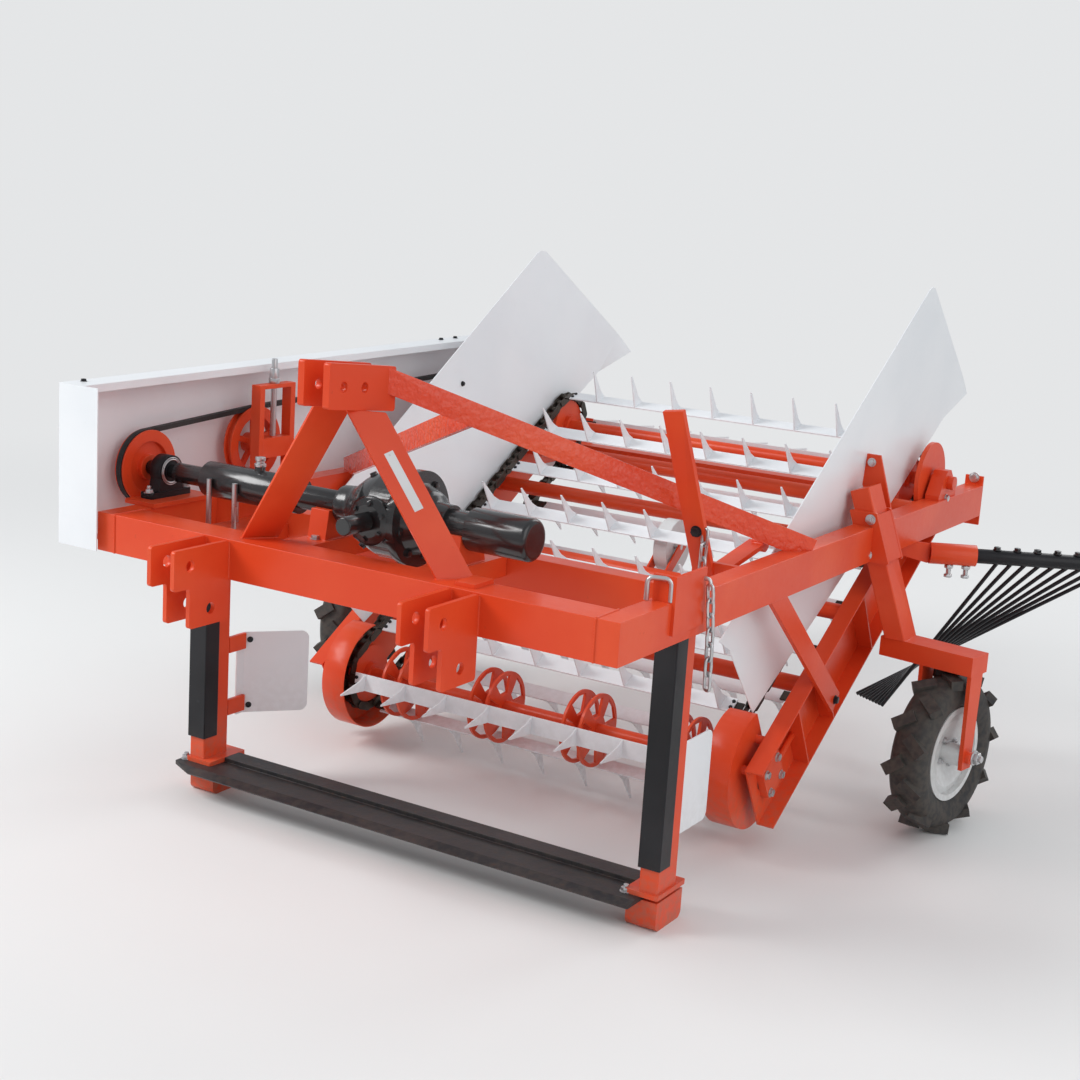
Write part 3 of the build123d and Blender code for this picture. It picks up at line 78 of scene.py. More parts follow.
@dataclass(frozen=True)
class Finish:
    """A surface finish made of shader nodes on object coordinates.

    Attributes:
        name: Name of the material.
        colour: Main colour, linear.
        faded: Colour of dusty or weathered areas, linear.
        coat: Kind of surface.
        roughness: Lowest and highest roughness.
        metallic: Share of bare metal.
        grain: Height of the fine bumps, in metres.
        grain_scale: How fine the bumps are.
        ripple: Height of the broad unevenness, in metres.
        ripple_scale: How fine the broad unevenness is.
        dust: Share of dust near the ground.
        dust_height: Height in metres up to which dust lies.
        spots: Share of small chips or stains.
        spot_colour: Colour of the chips or stains, linear.
        clear: Clear coat weight.
        shine: Strength of the mirror-like reflection.
    """

    name: str
    colour: Colour
    faded: Colour
    coat: Coat = Coat.PAINT
    roughness: tuple[float, float] = (0.25, 0.42)
    metallic: float = 0.0
    grain: float = 0.00006
    grain_scale: float = 420.0
    ripple: float = 0.0006
    ripple_scale: float = 9.0
    dust: float = 0.35
    dust_height: float = 0.35
    spots: float = 0.25
    spot_colour: Colour = (0.05, 0.03, 0.02)
    clear: float = 0.0
    shine: float = 0.5

    def build(self) -> bpy.types.Material:
        """Makes the material.

        Returns:
            The new material.
        """
        material = bpy.data.materials.new(self.name)
        material.use_nodes = True
        tree = material.node_tree
        tree.nodes.clear()
        output = tree.nodes.new("ShaderNodeOutputMaterial")
        shader = tree.nodes.new("ShaderNodeBsdfPrincipled")
        coords = tree.nodes.new("ShaderNodeTexCoord")
        tree.links.new(shader.outputs[0], output.inputs[0])
        shader.inputs["Metallic"].default_value = self.metallic if self.coat is Coat.STEEL else 0.0
        shader.inputs["Coat Weight"].default_value = self.clear
        shader.inputs["Specular IOR Level"].default_value = self.shine
        shader.inputs["Coat Roughness"].default_value = 0.12
        place_socket = coords.outputs["Object"]

        cloud = self.noise(tree, place_socket, 3.5, 4.0)
        fine = self.noise(tree, place_socket, 55.0, 6.0)
        tone = self.mix(tree, self.ramp(tree, cloud, 0.38, 0.72), self.colour, self.faded)
        speck = self.ramp(tree, fine, 0.70 - 0.10 * self.spots, 0.74)
        tone = self.mix(tree, self.times(tree, speck, self.spots), tone, self.spot_colour)
        split = tree.nodes.new("ShaderNodeSeparateXYZ")
        tree.links.new(place_socket, split.inputs[0])
        low = tree.nodes.new("ShaderNodeMapRange")
        low.inputs["From Min"].default_value = self.dust_height
        low.inputs["From Max"].default_value = 0.0
        tree.links.new(split.outputs["Z"], low.inputs["Value"])
        lying = self.product(tree, low.outputs[0], self.ramp(tree, fine, 0.30, 0.65))
        patchy = self.times(tree, lying, self.dust)
        tone = self.mix(tree, patchy, tone, DUST)
        tree.links.new(tone, shader.inputs["Base Color"])

        gloss = tree.nodes.new("ShaderNodeMapRange")
        gloss.inputs["To Min"].default_value = self.roughness[0]
        gloss.inputs["To Max"].default_value = self.roughness[1]
        tree.links.new(fine, gloss.inputs["Value"])
        tree.links.new(gloss.outputs[0], shader.inputs["Roughness"])

        broad = self.bump(tree, self.noise(tree, place_socket, self.ripple_scale, 2.0), self.ripple, None)
        small = self.bump(tree, self.noise(tree, place_socket, self.grain_scale, 3.0), self.grain, broad)
        tree.links.new(small, shader.inputs["Normal"])
        return material

    @staticmethod
    def noise(tree: Tree, source: Socket, scale: float, detail: float) -> Socket:
        """Adds a noise texture and returns its value.

        Args:
            tree: The node tree.
            source: Where the coordinates come from.
            scale: How fine the texture is.
            detail: Levels of finer detail.

        Returns:
            The noise value.
        """
        node = tree.nodes.new("ShaderNodeTexNoise")
        node.inputs["Scale"].default_value = scale
        node.inputs["Detail"].default_value = detail
        tree.links.new(source, node.inputs["Vector"])
        return node.outputs["Fac"]

    @staticmethod
    def ramp(tree: Tree, source: Socket, low: float, high: float) -> Socket:
        """Adds a smooth step between two values and returns it.

        Args:
            tree: The node tree.
            source: The value to be stepped.
            low: Value at which the step begins.
            high: Value at which it ends.

        Returns:
            The stepped value, from 0 to 1.
        """
        node = tree.nodes.new("ShaderNodeMapRange")
        node.interpolation_type = "SMOOTHSTEP"
        node.inputs["From Min"].default_value = low
        node.inputs["From Max"].default_value = high
        tree.links.new(source, node.inputs["Value"])
        return node.outputs[0]

    @staticmethod
    def times(tree: Tree, source: Socket, factor: float) -> Socket:
        """Multiplies a value by a number.

        Args:
            tree: The node tree.
            source: The value.
            factor: The number it is multiplied by.

        Returns:
            The product.
        """
        node = tree.nodes.new("ShaderNodeMath")
        node.operation = "MULTIPLY"
        node.inputs[1].default_value = factor
        tree.links.new(source, node.inputs[0])
        return node.outputs[0]

    @staticmethod
    def product(tree: Tree, one: Socket, other: Socket) -> Socket:
        """Multiplies two values.

        Args:
            tree: The node tree.
            one: One value.
            other: The other value.

        Returns:
            The product.
        """
        node = tree.nodes.new("ShaderNodeMath")
        node.operation = "MULTIPLY"
        tree.links.new(one, node.inputs[0])
        tree.links.new(other, node.inputs[1])
        return node.outputs[0]

    @staticmethod
    def mix(tree: Tree, share: Socket, under: Socket | Colour,
            over: Socket | Colour) -> Socket:
        """Mixes two colours, each a socket or a constant, by a value.

        Args:
            tree: The node tree.
            share: Share of the second colour.
            under: The first colour.
            over: The second colour.

        Returns:
            The mixed colour.
        """
        node = tree.nodes.new("ShaderNodeMix")
        node.data_type = "RGBA"
        tree.links.new(share, node.inputs["Factor"])
        for name, value in (("A", under), ("B", over)):
            socket = next(each for each in node.inputs if each.name == name and each.type == "RGBA")
            if isinstance(value, tuple):
                socket.default_value = (*value, 1.0)
            else:
                tree.links.new(value, socket)
        return next(each for each in node.outputs if each.type == "RGBA")

    @staticmethod
    def bump(tree: Tree, source: Socket, height: float,
             before: Socket | None) -> Socket:
        """Adds a bump of a real height after another one and returns its normal.

        Args:
            tree: The node tree.
            source: The value that gives the relief.
            height: Height of the relief in metres.
            before: Normal of an earlier bump, if there is one.

        Returns:
            The normal.
        """
        node = tree.nodes.new("ShaderNodeBump")
        node.inputs["Strength"].default_value = 1.0
        node.inputs["Distance"].default_value = height
        tree.links.new(source, node.inputs["Height"])
        if before is not None:
            tree.links.new(before, node.inputs["Normal"])
        return node.outputs[0]


@dataclass
class Palette:
    """All finishes of the machine, each made once."""

    red: Finish = Finish(
        "red_paint", (0.72, 0.062, 0.016), (0.78, 0.088, 0.026), roughness=(0.26, 0.42), ripple=0.0005,
        ripple_scale=14.0, grain=0.00005, clear=0.04, shine=0.28, spots=0.10, dust=0.40, dust_height=0.26)
    hammered: Finish = Finish(
        "hammered_red", (0.76, 0.062, 0.018), (0.84, 0.110, 0.040), roughness=(0.18, 0.32), ripple=0.0060,
        ripple_scale=60.0, grain=0.00005, clear=0.20, shine=0.4, spots=0.05, dust=0.1)
    white: Finish = Finish(
        "white_paint", (0.86, 0.88, 0.90), (0.82, 0.845, 0.87), roughness=(0.24, 0.40), ripple=0.0005,
        ripple_scale=6.0, grain=0.00003, clear=0.15, spots=0.05, dust=0.20, spot_colour=(0.25, 0.20, 0.16))
    black_gloss: Finish = Finish(
        "black_gloss", (0.012, 0.012, 0.013), (0.020, 0.020, 0.021), roughness=(0.14, 0.30), ripple=0.0006,
        ripple_scale=22.0, grain=0.00012, grain_scale=160.0, clear=0.3, spots=0.05, dust=0.1)
    black_satin: Finish = Finish(
        "black_satin", (0.010, 0.010, 0.012), (0.020, 0.020, 0.023), roughness=(0.24, 0.42), ripple=0.0004,
        spots=0.10, spot_colour=(0.10, 0.10, 0.10), shine=0.28, dust=0.18, dust_height=0.20)
    chain: Finish = Finish(
        "chain_steel", (0.045, 0.040, 0.036), (0.10, 0.085, 0.070), Coat.STEEL, (0.30, 0.55), 0.85,
        grain=0.0002, grain_scale=240.0, spots=0.5, spot_colour=(0.16, 0.09, 0.05))
    blade: Finish = Finish(
        "blade_steel", (0.030, 0.031, 0.035), (0.060, 0.056, 0.058), Coat.STEEL, (0.35, 0.62), 0.6,
        grain=0.0004, grain_scale=120.0, ripple=0.0012, ripple_scale=18.0, spots=0.5,
        spot_colour=(0.11, 0.055, 0.03), dust=0.3, dust_height=0.16)
    belt: Finish = Finish(
        "belt_rubber", (0.014, 0.014, 0.015), (0.030, 0.029, 0.028), Coat.RUBBER, (0.55, 0.75),
        grain=0.00020, spots=0.1, spot_colour=(0.08, 0.075, 0.07))
    zinc: Finish = Finish(
        "zinc", (0.62, 0.62, 0.63), (0.50, 0.50, 0.51), Coat.STEEL, (0.22, 0.38), 0.9, grain=0.00005,
        ripple=0.0001, spots=0.15, spot_colour=(0.30, 0.29, 0.27), dust=0.2)
    tyre: Finish = Finish(
        "tyre_rubber", (0.018, 0.018, 0.020), (0.034, 0.031, 0.028), Coat.RUBBER, (0.55, 0.80),
        grain=0.00020, grain_scale=300.0, ripple=0.0005, spots=0.2, spot_colour=(0.10, 0.08, 0.06),
        dust=0.20, dust_height=1.40)
    rim: Finish = Finish(
        "rim_paint", (0.70, 0.71, 0.71), (0.56, 0.56, 0.55), roughness=(0.26, 0.44), ripple=0.0006,
        clear=0.2, spots=0.25, spot_colour=(0.22, 0.18, 0.15), dust=0.25, dust_height=0.40)
    made: dict[str, bpy.types.Material] = field(default_factory=dict)

    def of(self, name: str) -> bpy.types.Material:
        """Returns the material of a finish, made at its first use.

        Args:
            name: Field name of the finish.

        Returns:
            Its material.
        """
        if name not in self.made:
            self.made[name] = getattr(self, name).build()
        return self.made[name]


# Heading of the windrower beams in degrees, and the height of each side's beam in millimetres
WINDROWER_ANGLE = 30
WINDROWER_HEIGHTS = {-1: 620, 1: 700}

# Bolts of each deflector: (behind the front face, above the ground)
DEFLECTOR_BOLTS = ((1492, 1061), (1120, 800))

# Places in millimetres: behind the frame's front and above the ground, and for the mast
# legs right of the middle too; then the turn of the mast legs in degrees
SHAFT = (240, 912)
MAST_HEAD, MAST_FOOT = (40, 30, 1203), (290, 73, 832)
MAST_TURN = 58

# The finish of each material slot of the record
SLOT_FINISH = {
    "red_paint": "red",
    "white_paint": "white",
    "black_gloss": "black_gloss",
    "black_satin": "black_satin",
    "chain_steel": "chain",
    "blade_steel": "blade",
    "belt_rubber": "belt",
    "zinc": "zinc",
    "tyre_rubber": "tyre",
    "rim_paint": "rim",
}


def deselect() -> None:
    """Leaves object mode's selection empty."""
    if bpy.context.object and bpy.context.object.mode != "OBJECT":
        bpy.ops.object.mode_set(mode="OBJECT")
    bpy.ops.object.select_all(action="DESELECT")


class Workbench:
    """Modelling steps that the sub-assemblies share."""

    @staticmethod
    def settle(piece: Piece) -> Piece:
        """Applies a piece's place, turn and scale to its mesh.

        Args:
            piece: The piece.

        Returns:
            The same piece.
        """
        deselect()
        piece.select_set(True)
        bpy.context.view_layer.objects.active = piece
        bpy.ops.object.transform_apply(location=True, rotation=True, scale=True)
        return piece

    @staticmethod
    def join(pieces: Sequence[Piece], name: str) -> Piece:
        """Joins pieces into one and names it.

        Args:
            pieces: The pieces, the first of which takes in the others.
            name: Name of the result.

        Returns:
            The joined piece.
        """
        deselect()
        for piece in pieces:
            piece.select_set(True)
        bpy.context.view_layer.objects.active = pieces[0]
        if len(pieces) > 1:
            bpy.ops.object.join()
        whole = bpy.context.view_layer.objects.active
        whole.name = name
        whole.data.name = name
        return Workbench.settle(whole)

    @staticmethod
    def clean(piece: Piece) -> None:
        """Merges doubles and points all faces outwards.

        Args:
            piece: The piece.
        """
        deselect()
        piece.select_set(True)
        bpy.context.view_layer.objects.active = piece
        bpy.ops.object.mode_set(mode="EDIT")
        bpy.ops.mesh.select_all(action="SELECT")
        bpy.ops.mesh.remove_doubles(threshold=0.00002)
        bpy.ops.mesh.normals_make_consistent(inside=False)
        bpy.ops.object.mode_set(mode="OBJECT")

    @staticmethod
    def smooth(piece: Piece, angle: float = 35.0) -> None:
        """Shades a piece smooth below an angle in degrees.

        Args:
            piece: The piece.
            angle: Edges flatter than this many degrees are smoothed.
        """
        deselect()
        piece.select_set(True)
        bpy.context.view_layer.objects.active = piece
        bpy.ops.object.shade_smooth_by_angle(angle=math.radians(angle))

    @staticmethod
    def select_edges(mesh: bpy.types.Mesh, wanted: Callable[[bmesh.types.BMEdge], bool]) -> None:
        """In edit mode, selects only the edges that pass a test.

        Args:
            mesh: The mesh, in edit mode.
            wanted: Says of an edge whether it is selected.
        """
        shape = bmesh.from_edit_mesh(mesh)
        for vertex in shape.verts:
            vertex.select = False
        for edge in shape.edges:
            edge.select = wanted(edge)
        shape.select_flush_mode()
        bmesh.update_edit_mesh(mesh)

    @staticmethod
    def cylinder(radius: float, height: float, low: float, sides: int = 24, chamfer: float = 0.0) -> Piece:
        """Adds an upright cylinder from a height, with its two rims bevelled.

        Args:
            radius: Radius in metres.
            height: Height in metres.
            low: Height of its foot.
            sides: Number of sides.
            chamfer: Width of the bevel.

        Returns:
            The new object.
        """
        deselect()
        bpy.ops.mesh.primitive_cylinder_add(vertices=sides, radius=radius, depth=height,
                                            location=(0, 0, low + height / 2))
        piece = bpy.context.object
        if chamfer:
            bpy.ops.object.mode_set(mode="EDIT")
            bpy.ops.mesh.select_mode(type="EDGE")
            Workbench.select_edges(piece.data, lambda edge: len(edge.link_faces) == 2 and
                                   abs(edge.verts[0].co.z - edge.verts[1].co.z) < 1e-6)
            bpy.ops.mesh.bevel(offset=chamfer, segments=2, affect="EDGES")
            bpy.ops.object.mode_set(mode="OBJECT")
        return Workbench.settle(piece)

    @staticmethod
    def bar(points: Sequence[Vector], radius: float, bends: float = 0.012) -> Piece:
        """Bends a round bar along points, with its corners rounded.

        Args:
            points: Corners of the bar's line.
            radius: Radius of the bar.
            bends: How far from a corner its bend starts.

        Returns:
            The new object.
        """
        line = [points[0]]
        for before, corner, after in zip(points, points[1:], points[2:]):
            start = corner + (before - corner).normalized() * bends
            end = corner + (after - corner).normalized() * bends
            line += [start.lerp(corner, t).lerp(corner.lerp(end, t), t) for t in (0, 0.2, 0.4, 0.6, 0.8, 1)]
        line.append(points[-1])
        deselect()
        bpy.ops.curve.primitive_nurbs_path_add()
        piece = bpy.context.object
        piece.data.splines.clear()
        spline = piece.data.splines.new("POLY")
        spline.points.add(len(line) - 1)
        for knot, spot in zip(spline.points, line):
            knot.co = (*spot, 1)
        piece.data.bevel_depth = radius
        piece.data.bevel_resolution = 3
        piece.data.use_fill_caps = True
        bpy.ops.object.convert(target="MESH")
        return Workbench.settle(bpy.context.object)

    @staticmethod
    def ring(radius: float, thickness: float, sides: int = 24, around: int = 8) -> Piece:
        """Adds a lying ring of round section.

        Args:
            radius: Radius of the middle of its section.
            thickness: Radius of its section.
            sides: Sides along the ring.
            around: Sides round its section.

        Returns:
            The ring.
        """
        deselect()
        bpy.ops.mesh.primitive_torus_add(major_radius=radius, minor_radius=thickness, major_segments=sides,
                                         minor_segments=around)
        return Workbench.settle(bpy.context.object)

    @staticmethod
    def aim(direction: Vector, across: Vector | None = None) -> Matrix:
        """Returns the turn that points +Z along a direction, and +X near `across` where it is given.

        Args:
            direction: Where +Z points.
            across: Where +X points as nearly as it can.

        Returns:
            The turn.
        """
        up = direction.normalized()
        level = Vector((0, 0, 1)) if abs(up.z) < 0.9 else Vector((1, 0, 0))
        side = across if across is not None else level
        side = (side - up * side.dot(up)).normalized()
        return Matrix((side, up.cross(side), up)).transposed().to_4x4()

    @staticmethod
    def copies(model: Piece, places: Iterable[Matrix], name: str) -> Piece:
        """Copies a model to each place, each with its own mesh, and joins the copies.

        Args:
            model: The piece that is copied, and removed afterwards.
            places: Where each copy goes.
            name: Name of the joined piece.

        Returns:
            The joined piece.
        """
        made = []
        for matrix in places:
            copy = model.copy()
            copy.data = model.data.copy()
            bpy.context.scene.collection.objects.link(copy)
            copy.matrix_world = matrix
            made.append(Workbench.settle(copy))
        bpy.data.objects.remove(model, do_unlink=True)
        return Workbench.join(made, name)

    @staticmethod
    def hand_over(piece: Piece, finish: bpy.types.Material, body: str, slot: str,
                  angle: float = 35.0) -> Piece:
        """Cleans, smooths and paints a finished piece and puts it on its body.

        Args:
            piece: The piece.
            finish: Its material.
            body: Name of the body that it rides on.
            slot: Its material slot in the record; not used.
            angle: Edges flatter than this many degrees are smoothed.

        Returns:
            The same piece.
        """
        Workbench.clean(piece)
        Workbench.smooth(piece, angle)
        piece.data.materials.clear()
        piece.data.materials.append(finish)
        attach(piece, body)
        log.info("%s rides on %s", piece.name, body)
        return piece


@dataclass
class Fastener:
    """A bolt head with its washer, and the nut and thread end of one.

    Attributes:
        size: Thread diameter in metres.
        thread_end: How far the thread stands past the nut, or 0 for a plain head.
        washer: Whether it has a washer.
    """

    size: float
    thread_end: float = 0.0
    washer: bool = True

    def model(self) -> Piece:
        """Models it standing on the plane z = 0.

        Returns:
            The fastener.
        """
        size = self.size
        parts = []
        seat = 0.0
        if self.washer:
            seat = size * 0.17
            parts.append(Workbench.cylinder(size * 1.08, seat, 0.0, 20, size * 0.03))
        head = Workbench.cylinder(size * 0.88, size * 0.66, seat - 0.0001, 6)
        bpy.context.view_layer.objects.active = head
        bpy.ops.object.mode_set(mode="EDIT")
        bpy.ops.mesh.select_mode(type="EDGE")
        top = seat + size * 0.6
        Workbench.select_edges(head.data, lambda edge: min(each.co.z for each in edge.verts) > top)
        bpy.ops.mesh.bevel(offset=size * 0.08, segments=2, affect="EDGES")
        bpy.ops.object.mode_set(mode="OBJECT")
        parts.append(head)
        if self.thread_end:
            parts.append(
                Workbench.cylinder(size * 0.48, self.thread_end, seat + size * 0.6, 14, size * 0.08))
        return Workbench.join(parts, "fastener")

    def set_out(self, spots: Sequence[tuple[Vector, Vector]], name: str) -> Piece:
        """Copies it to each spot.

        Args:
            spots: A point on the surface and the way out of the surface, for each.
            name: Name of the piece.

        Returns:
            All of them as one piece.
        """
        turns = [Matrix.Translation(spot) @ Workbench.aim(out) @ Matrix.Rotation(0.37 * count, 4, "Z")
                 for count, (spot, out) in enumerate(spots)]
        return Workbench.copies(self.model(), turns, name)


@dataclass
class ElevatorChains:
    """Two roller chains round the sloping elevator, with the bolts of the slats.

    Attributes:
        slope: Angle of the elevator in degrees.
        length: Distance between its two shafts.
        radius: Radius of the chain's line round the sprockets.
        chain_x: How far out each chain runs.
        links: Number of links of one chain, inner and outer together.
        slats: Number of slats.
        slat_start: Place of the first slat along the loop.
        slat_bolt_x: How far out the slats are bolted.
        link_plate: Thickness of a link's side plates.
        outer_plates: How far out the side plates of an outer link stand, and their height.
        inner_plates: The same for an inner link.
        pin: Radius, width and number of sides of a pin.
        roller: The same for a roller.
        seat_at: How far inwards of the chain's line and how far above it a slat's seat lies.
        seat_size: Size of a slat's seat across, along and up.
    """

    slope: float = 31.3
    length: float = 1.275
    radius: float = 0.100
    chain_x: float = 0.622
    links: int = 84
    slats: int = 16
    slat_start: float = 0.105
    slat_bolt_x: float = 0.578
    link_plate: float = 0.0030
    outer_plates: tuple[float, float] = (0.0132, 0.025)
    inner_plates: tuple[float, float] = (0.0094, 0.023)
    pin: tuple[float, float, int] = (0.0045, 0.0300, 10)
    roller: tuple[float, float, int] = (0.0095, 0.0150, 12)
    seat_at: tuple[float, float] = (0.0325, 0.0105)
    seat_size: Point = (0.036, 0.034, 0.005)

    def sloped(self, x: float, along: float, above: float) -> Vector:
        """Returns a point from its place along and above the elevator's centre line.

        Args:
            x: How far right, in metres.
            along: How far up the slope, in metres.
            above: How far above the centre line, in metres.

        Returns:
            The point.
        """
        run, rise = math.cos(math.radians(self.slope)), math.sin(math.radians(self.slope))
        foot = place(0, 987, 218)
        return Vector((x, foot.y + along * run - above * rise, foot.z + along * rise + above * run))

    def around(self) -> float:
        """Returns the length of the loop."""
        return 2 * self.length + 2 * math.pi * self.radius

    def station(self, distance: float, x: float = 0.0) -> Matrix:
        """Returns the place on the loop at a distance: +X across, +Y the way it travels, +Z outwards.

        Args:
            distance: How far round the loop, in metres.
            x: How far right, in metres.

        Returns:
            The place and turn.
        """
        half = self.length + math.pi * self.radius
        run = distance % self.around()
        returning = run >= half
        run -= half * returning
        turn = max(0.0, run - self.length) / self.radius + math.pi * returning
        straight = min(run, self.length)
        along = self.length - straight if returning else straight
        spot = self.sloped(x, along + self.radius * math.sin(turn), self.radius * math.cos(turn))
        out = self.sloped(0, math.sin(turn), math.cos(turn)) - self.sloped(0, 0, 0)
        return Matrix.Translation(spot) @ Workbench.aim(out, Vector((1, 0, 0)))

    def side_plate(self, x: float, thickness: float, height: float) -> Piece:
        """Models one rounded side plate of a link, standing across +X at x.

        Args:
            x: Where it stands.
            thickness: Its thickness.
            height: Its height.

        Returns:
            The plate.
        """
        pitch = self.around() / self.links
        deselect()
        bpy.ops.mesh.primitive_cube_add(size=1, location=(x, 0, 0))
        piece = bpy.context.object
        piece.scale = (thickness, pitch + height, height)
        Workbench.settle(piece)
        bpy.ops.object.mode_set(mode="EDIT")
        bpy.ops.mesh.select_mode(type="EDGE")
        Workbench.select_edges(
            piece.data, lambda edge: abs(edge.verts[0].co.x - edge.verts[1].co.x) > thickness / 2)
        bpy.ops.mesh.bevel(offset=height * 0.48, segments=3, affect="EDGES")
        bpy.ops.object.mode_set(mode="OBJECT")
        return piece

    def cross_pins(self, radius: float, width: float, sides: int) -> list[Piece]:
        """Models the two pins or rollers of a link, lying across.

        Args:
            radius: Radius of each.
            width: Length across.
            sides: Number of sides.

        Returns:
            Both of them.
        """
        pitch = self.around() / self.links
        made = []
        for end in (-pitch / 2, pitch / 2):
            pin = Workbench.cylinder(radius, width, -width / 2, sides)
            pin.matrix_world = Matrix.Translation((0, end, 0)) @ Matrix.Rotation(math.pi / 2, 4, "Y")
            made.append(Workbench.settle(pin))
        return made

    def link(self, name: str, plates: tuple[float, float], pins: tuple[float, float, int]) -> Piece:
        """Models one link: two side plates, and the two pins or rollers across them.

        Args:
            name: Name of the link.
            plates: How far out its side plates stand, and their height.
            pins: Radius, width and sides of its pins or rollers.

        Returns:
            The link.
        """
        plate_x, height = plates
        sides = [self.side_plate(x, self.link_plate, height) for x in (-plate_x, plate_x)]
        return Workbench.join([*sides, *self.cross_pins(*pins)], name)

    def build(self, palette: Palette) -> None:
        """Makes both chains, their seats for the slats, and the slat bolts.

        Args:
            palette: The palette of finishes.
        """
        pitch = self.around() / self.links
        for name, side in (("left", -1), ("right", 1)):
            x = side * self.chain_x
            outer = self.link("outer_link", self.outer_plates, self.pin)
            outers = Workbench.copies(
                outer, [self.station(pitch * 2 * each, x) for each in range(self.links // 2)], "outers")
            inner = self.link("inner_link", self.inner_plates, self.roller)
            inners = Workbench.copies(
                inner, [self.station(pitch * (2 * each + 1), x) for each in range(self.links // 2)], "inners")
            deselect()
            seat_x, seat_height = self.seat_at
            bpy.ops.mesh.primitive_cube_add(size=1, location=(-side * seat_x, 0, seat_height))
            seat = bpy.context.object
            seat.scale = self.seat_size
            Workbench.settle(seat)
            stations = [self.slat_start + each * self.around() / self.slats for each in range(self.slats)]
            seats = Workbench.copies(seat, [self.station(each, x) for each in stations], "seats")
            chain = Workbench.join([outers, inners, seats], f"roller_chain_{name}")
            Workbench.hand_over(chain, palette.of("chain"), "frame", "chain_steel")
            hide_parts(f"elevator_chain_{name}")
        spots = []
        for each in range(self.slats):
            station = self.station(self.slat_start + each * self.around() / self.slats)
            out = station.to_3x3() @ Vector((0, 0, 1))
            for x in (-self.slat_bolt_x, self.slat_bolt_x):
                for along in (-0.011, 0.011):
                    spots.append((station @ Vector((x, along, 0.018)), out))
        bolts = Fastener(0.0065, washer=False).set_out(spots, "slat_bolts")
        Workbench.hand_over(bolts, palette.of("black_satin"), "frame", "black_satin")


@dataclass
class LinkChain:
    """A short hanging chain of bent wire links.

    Attributes:
        name: Name of the piece.
        path: Points from its top to its end, in metres.
        wire: Radius of the wire.
        link: Inner length of a link.
    """

    name: str
    path: Sequence[Vector]
    wire: float = 0.0040
    link: float = 0.036

    def model(self) -> Piece:
        """Models one long link in the plane x = 0, along +Z.

        Returns:
            The link.
        """
        bend = self.wire * 2.3
        link = Workbench.ring(bend, self.wire, 16, 8)
        bpy.context.view_layer.objects.active = link
        bpy.ops.object.mode_set(mode="EDIT")
        bpy.ops.mesh.select_mode(type="VERT")
        for side in (-1, 1):
            shape = bmesh.from_edit_mesh(link.data)
            for vertex in shape.verts:
                vertex.select = vertex.co.y * side > 1e-6
            shape.select_flush_mode()
            bmesh.update_edit_mesh(link.data)
            bpy.ops.transform.translate(value=(0, side * (self.link / 2 - bend + self.wire), 0))
        bpy.ops.object.mode_set(mode="OBJECT")
        link.matrix_world = Matrix.Rotation(math.pi / 2, 4, "X")
        return Workbench.settle(link)

    def build(self, palette: Palette, body: str = "frame") -> None:
        """Hangs the links one in the other along the path.

        Args:
            palette: The palette of finishes.
            body: Name of the body that it hangs on.
        """
        spots = []
        turned = 0
        carry = self.link / 2
        for start, end in zip(self.path, self.path[1:]):
            run = end - start
            while carry < run.length:
                spot = start + run.normalized() * carry
                aim = Workbench.aim(run, Vector((1, 0, 0)))
                roll = Matrix.Rotation(math.pi / 2 * (turned % 2) + 0.35, 4, "Z")
                spots.append(Matrix.Translation(spot) @ aim @ roll)
                turned += 1
                carry += self.link
            carry -= run.length
        chain = Workbench.copies(self.model(), spots, self.name)
        Workbench.hand_over(chain, palette.of("zinc"), body, "zinc", 60)


def middle(name: str) -> Vector:
    """Returns the middle of a CAD node's box."""
    corners = [Vector(corner) for corner in frame["nodes"][name].bound_box]
    return sum(corners, Vector()) / len(corners)


def meet(name: str, start: Vector, way: Vector) -> tuple[Vector, Vector] | None:
    """Finds where a line first meets a CAD node.

    Args:
        name: The node.
        start: Start of the line, in metres.
        way: Direction of the line.

    Returns:
        The point on the surface and the way out of it, or None where the line misses.
    """
    hit, spot, out, _ = frame["nodes"][name].ray_cast(start, way.normalized())
    if not hit:
        log.warning("no surface of %s at %s", name, tuple(round(value, 3) for value in start))
        return None
    return spot, out


@dataclass(frozen=True)
class BoltRow:
    """Fasteners of one kind that stand on one CAD node.

    Attributes:
        name: Name of the piece.
        node: Node that they stand on.
        size: Thread diameter in metres.
        way: Direction in which each is put on.
        starts: Start of the line of each, in metres.
        finish: Finish of the metal.
        body: Body that they ride on.
        thread_end: How far the thread stands past the nut.
    """

    name: str
    node: str
    size: float
    way: Point
    starts: Sequence[Vector]
    finish: str = "black_satin"
    body: str = "frame"
    thread_end: float = 0.0

    def build(self, palette: Palette) -> None:
        """Seats every fastener on the node's surface.

        Args:
            palette: The palette of finishes.
        """
        seats = [meet(self.node, start, Vector(self.way)) for start in self.starts]
        spots = [seat for seat in seats if seat is not None]
        if spots:
            piece = Fastener(self.size, self.thread_end).set_out(spots, self.name)
            Workbench.hand_over(piece, palette.of(self.finish), self.body, self.finish)


def circle(centre: Vector, radius: float, count: int, axis: str, turn: float = 0.0) -> list[Vector]:
    """Returns points spaced round a circle that stands across an axis.

    Args:
        centre: Middle of the circle.
        radius: Its radius.
        count: Number of points.
        axis: "X" or "Y".
        turn: Angle of the first point, in radians.

    Returns:
        The points.
    """
    found = []
    for each in range(count):
        angle = turn + 2 * math.pi * each / count
        along, up = radius * math.cos(angle), radius * math.sin(angle)
        found.append(centre + (Vector((0, along, up)) if axis == "X" else Vector((along, 0, up))))
    return found


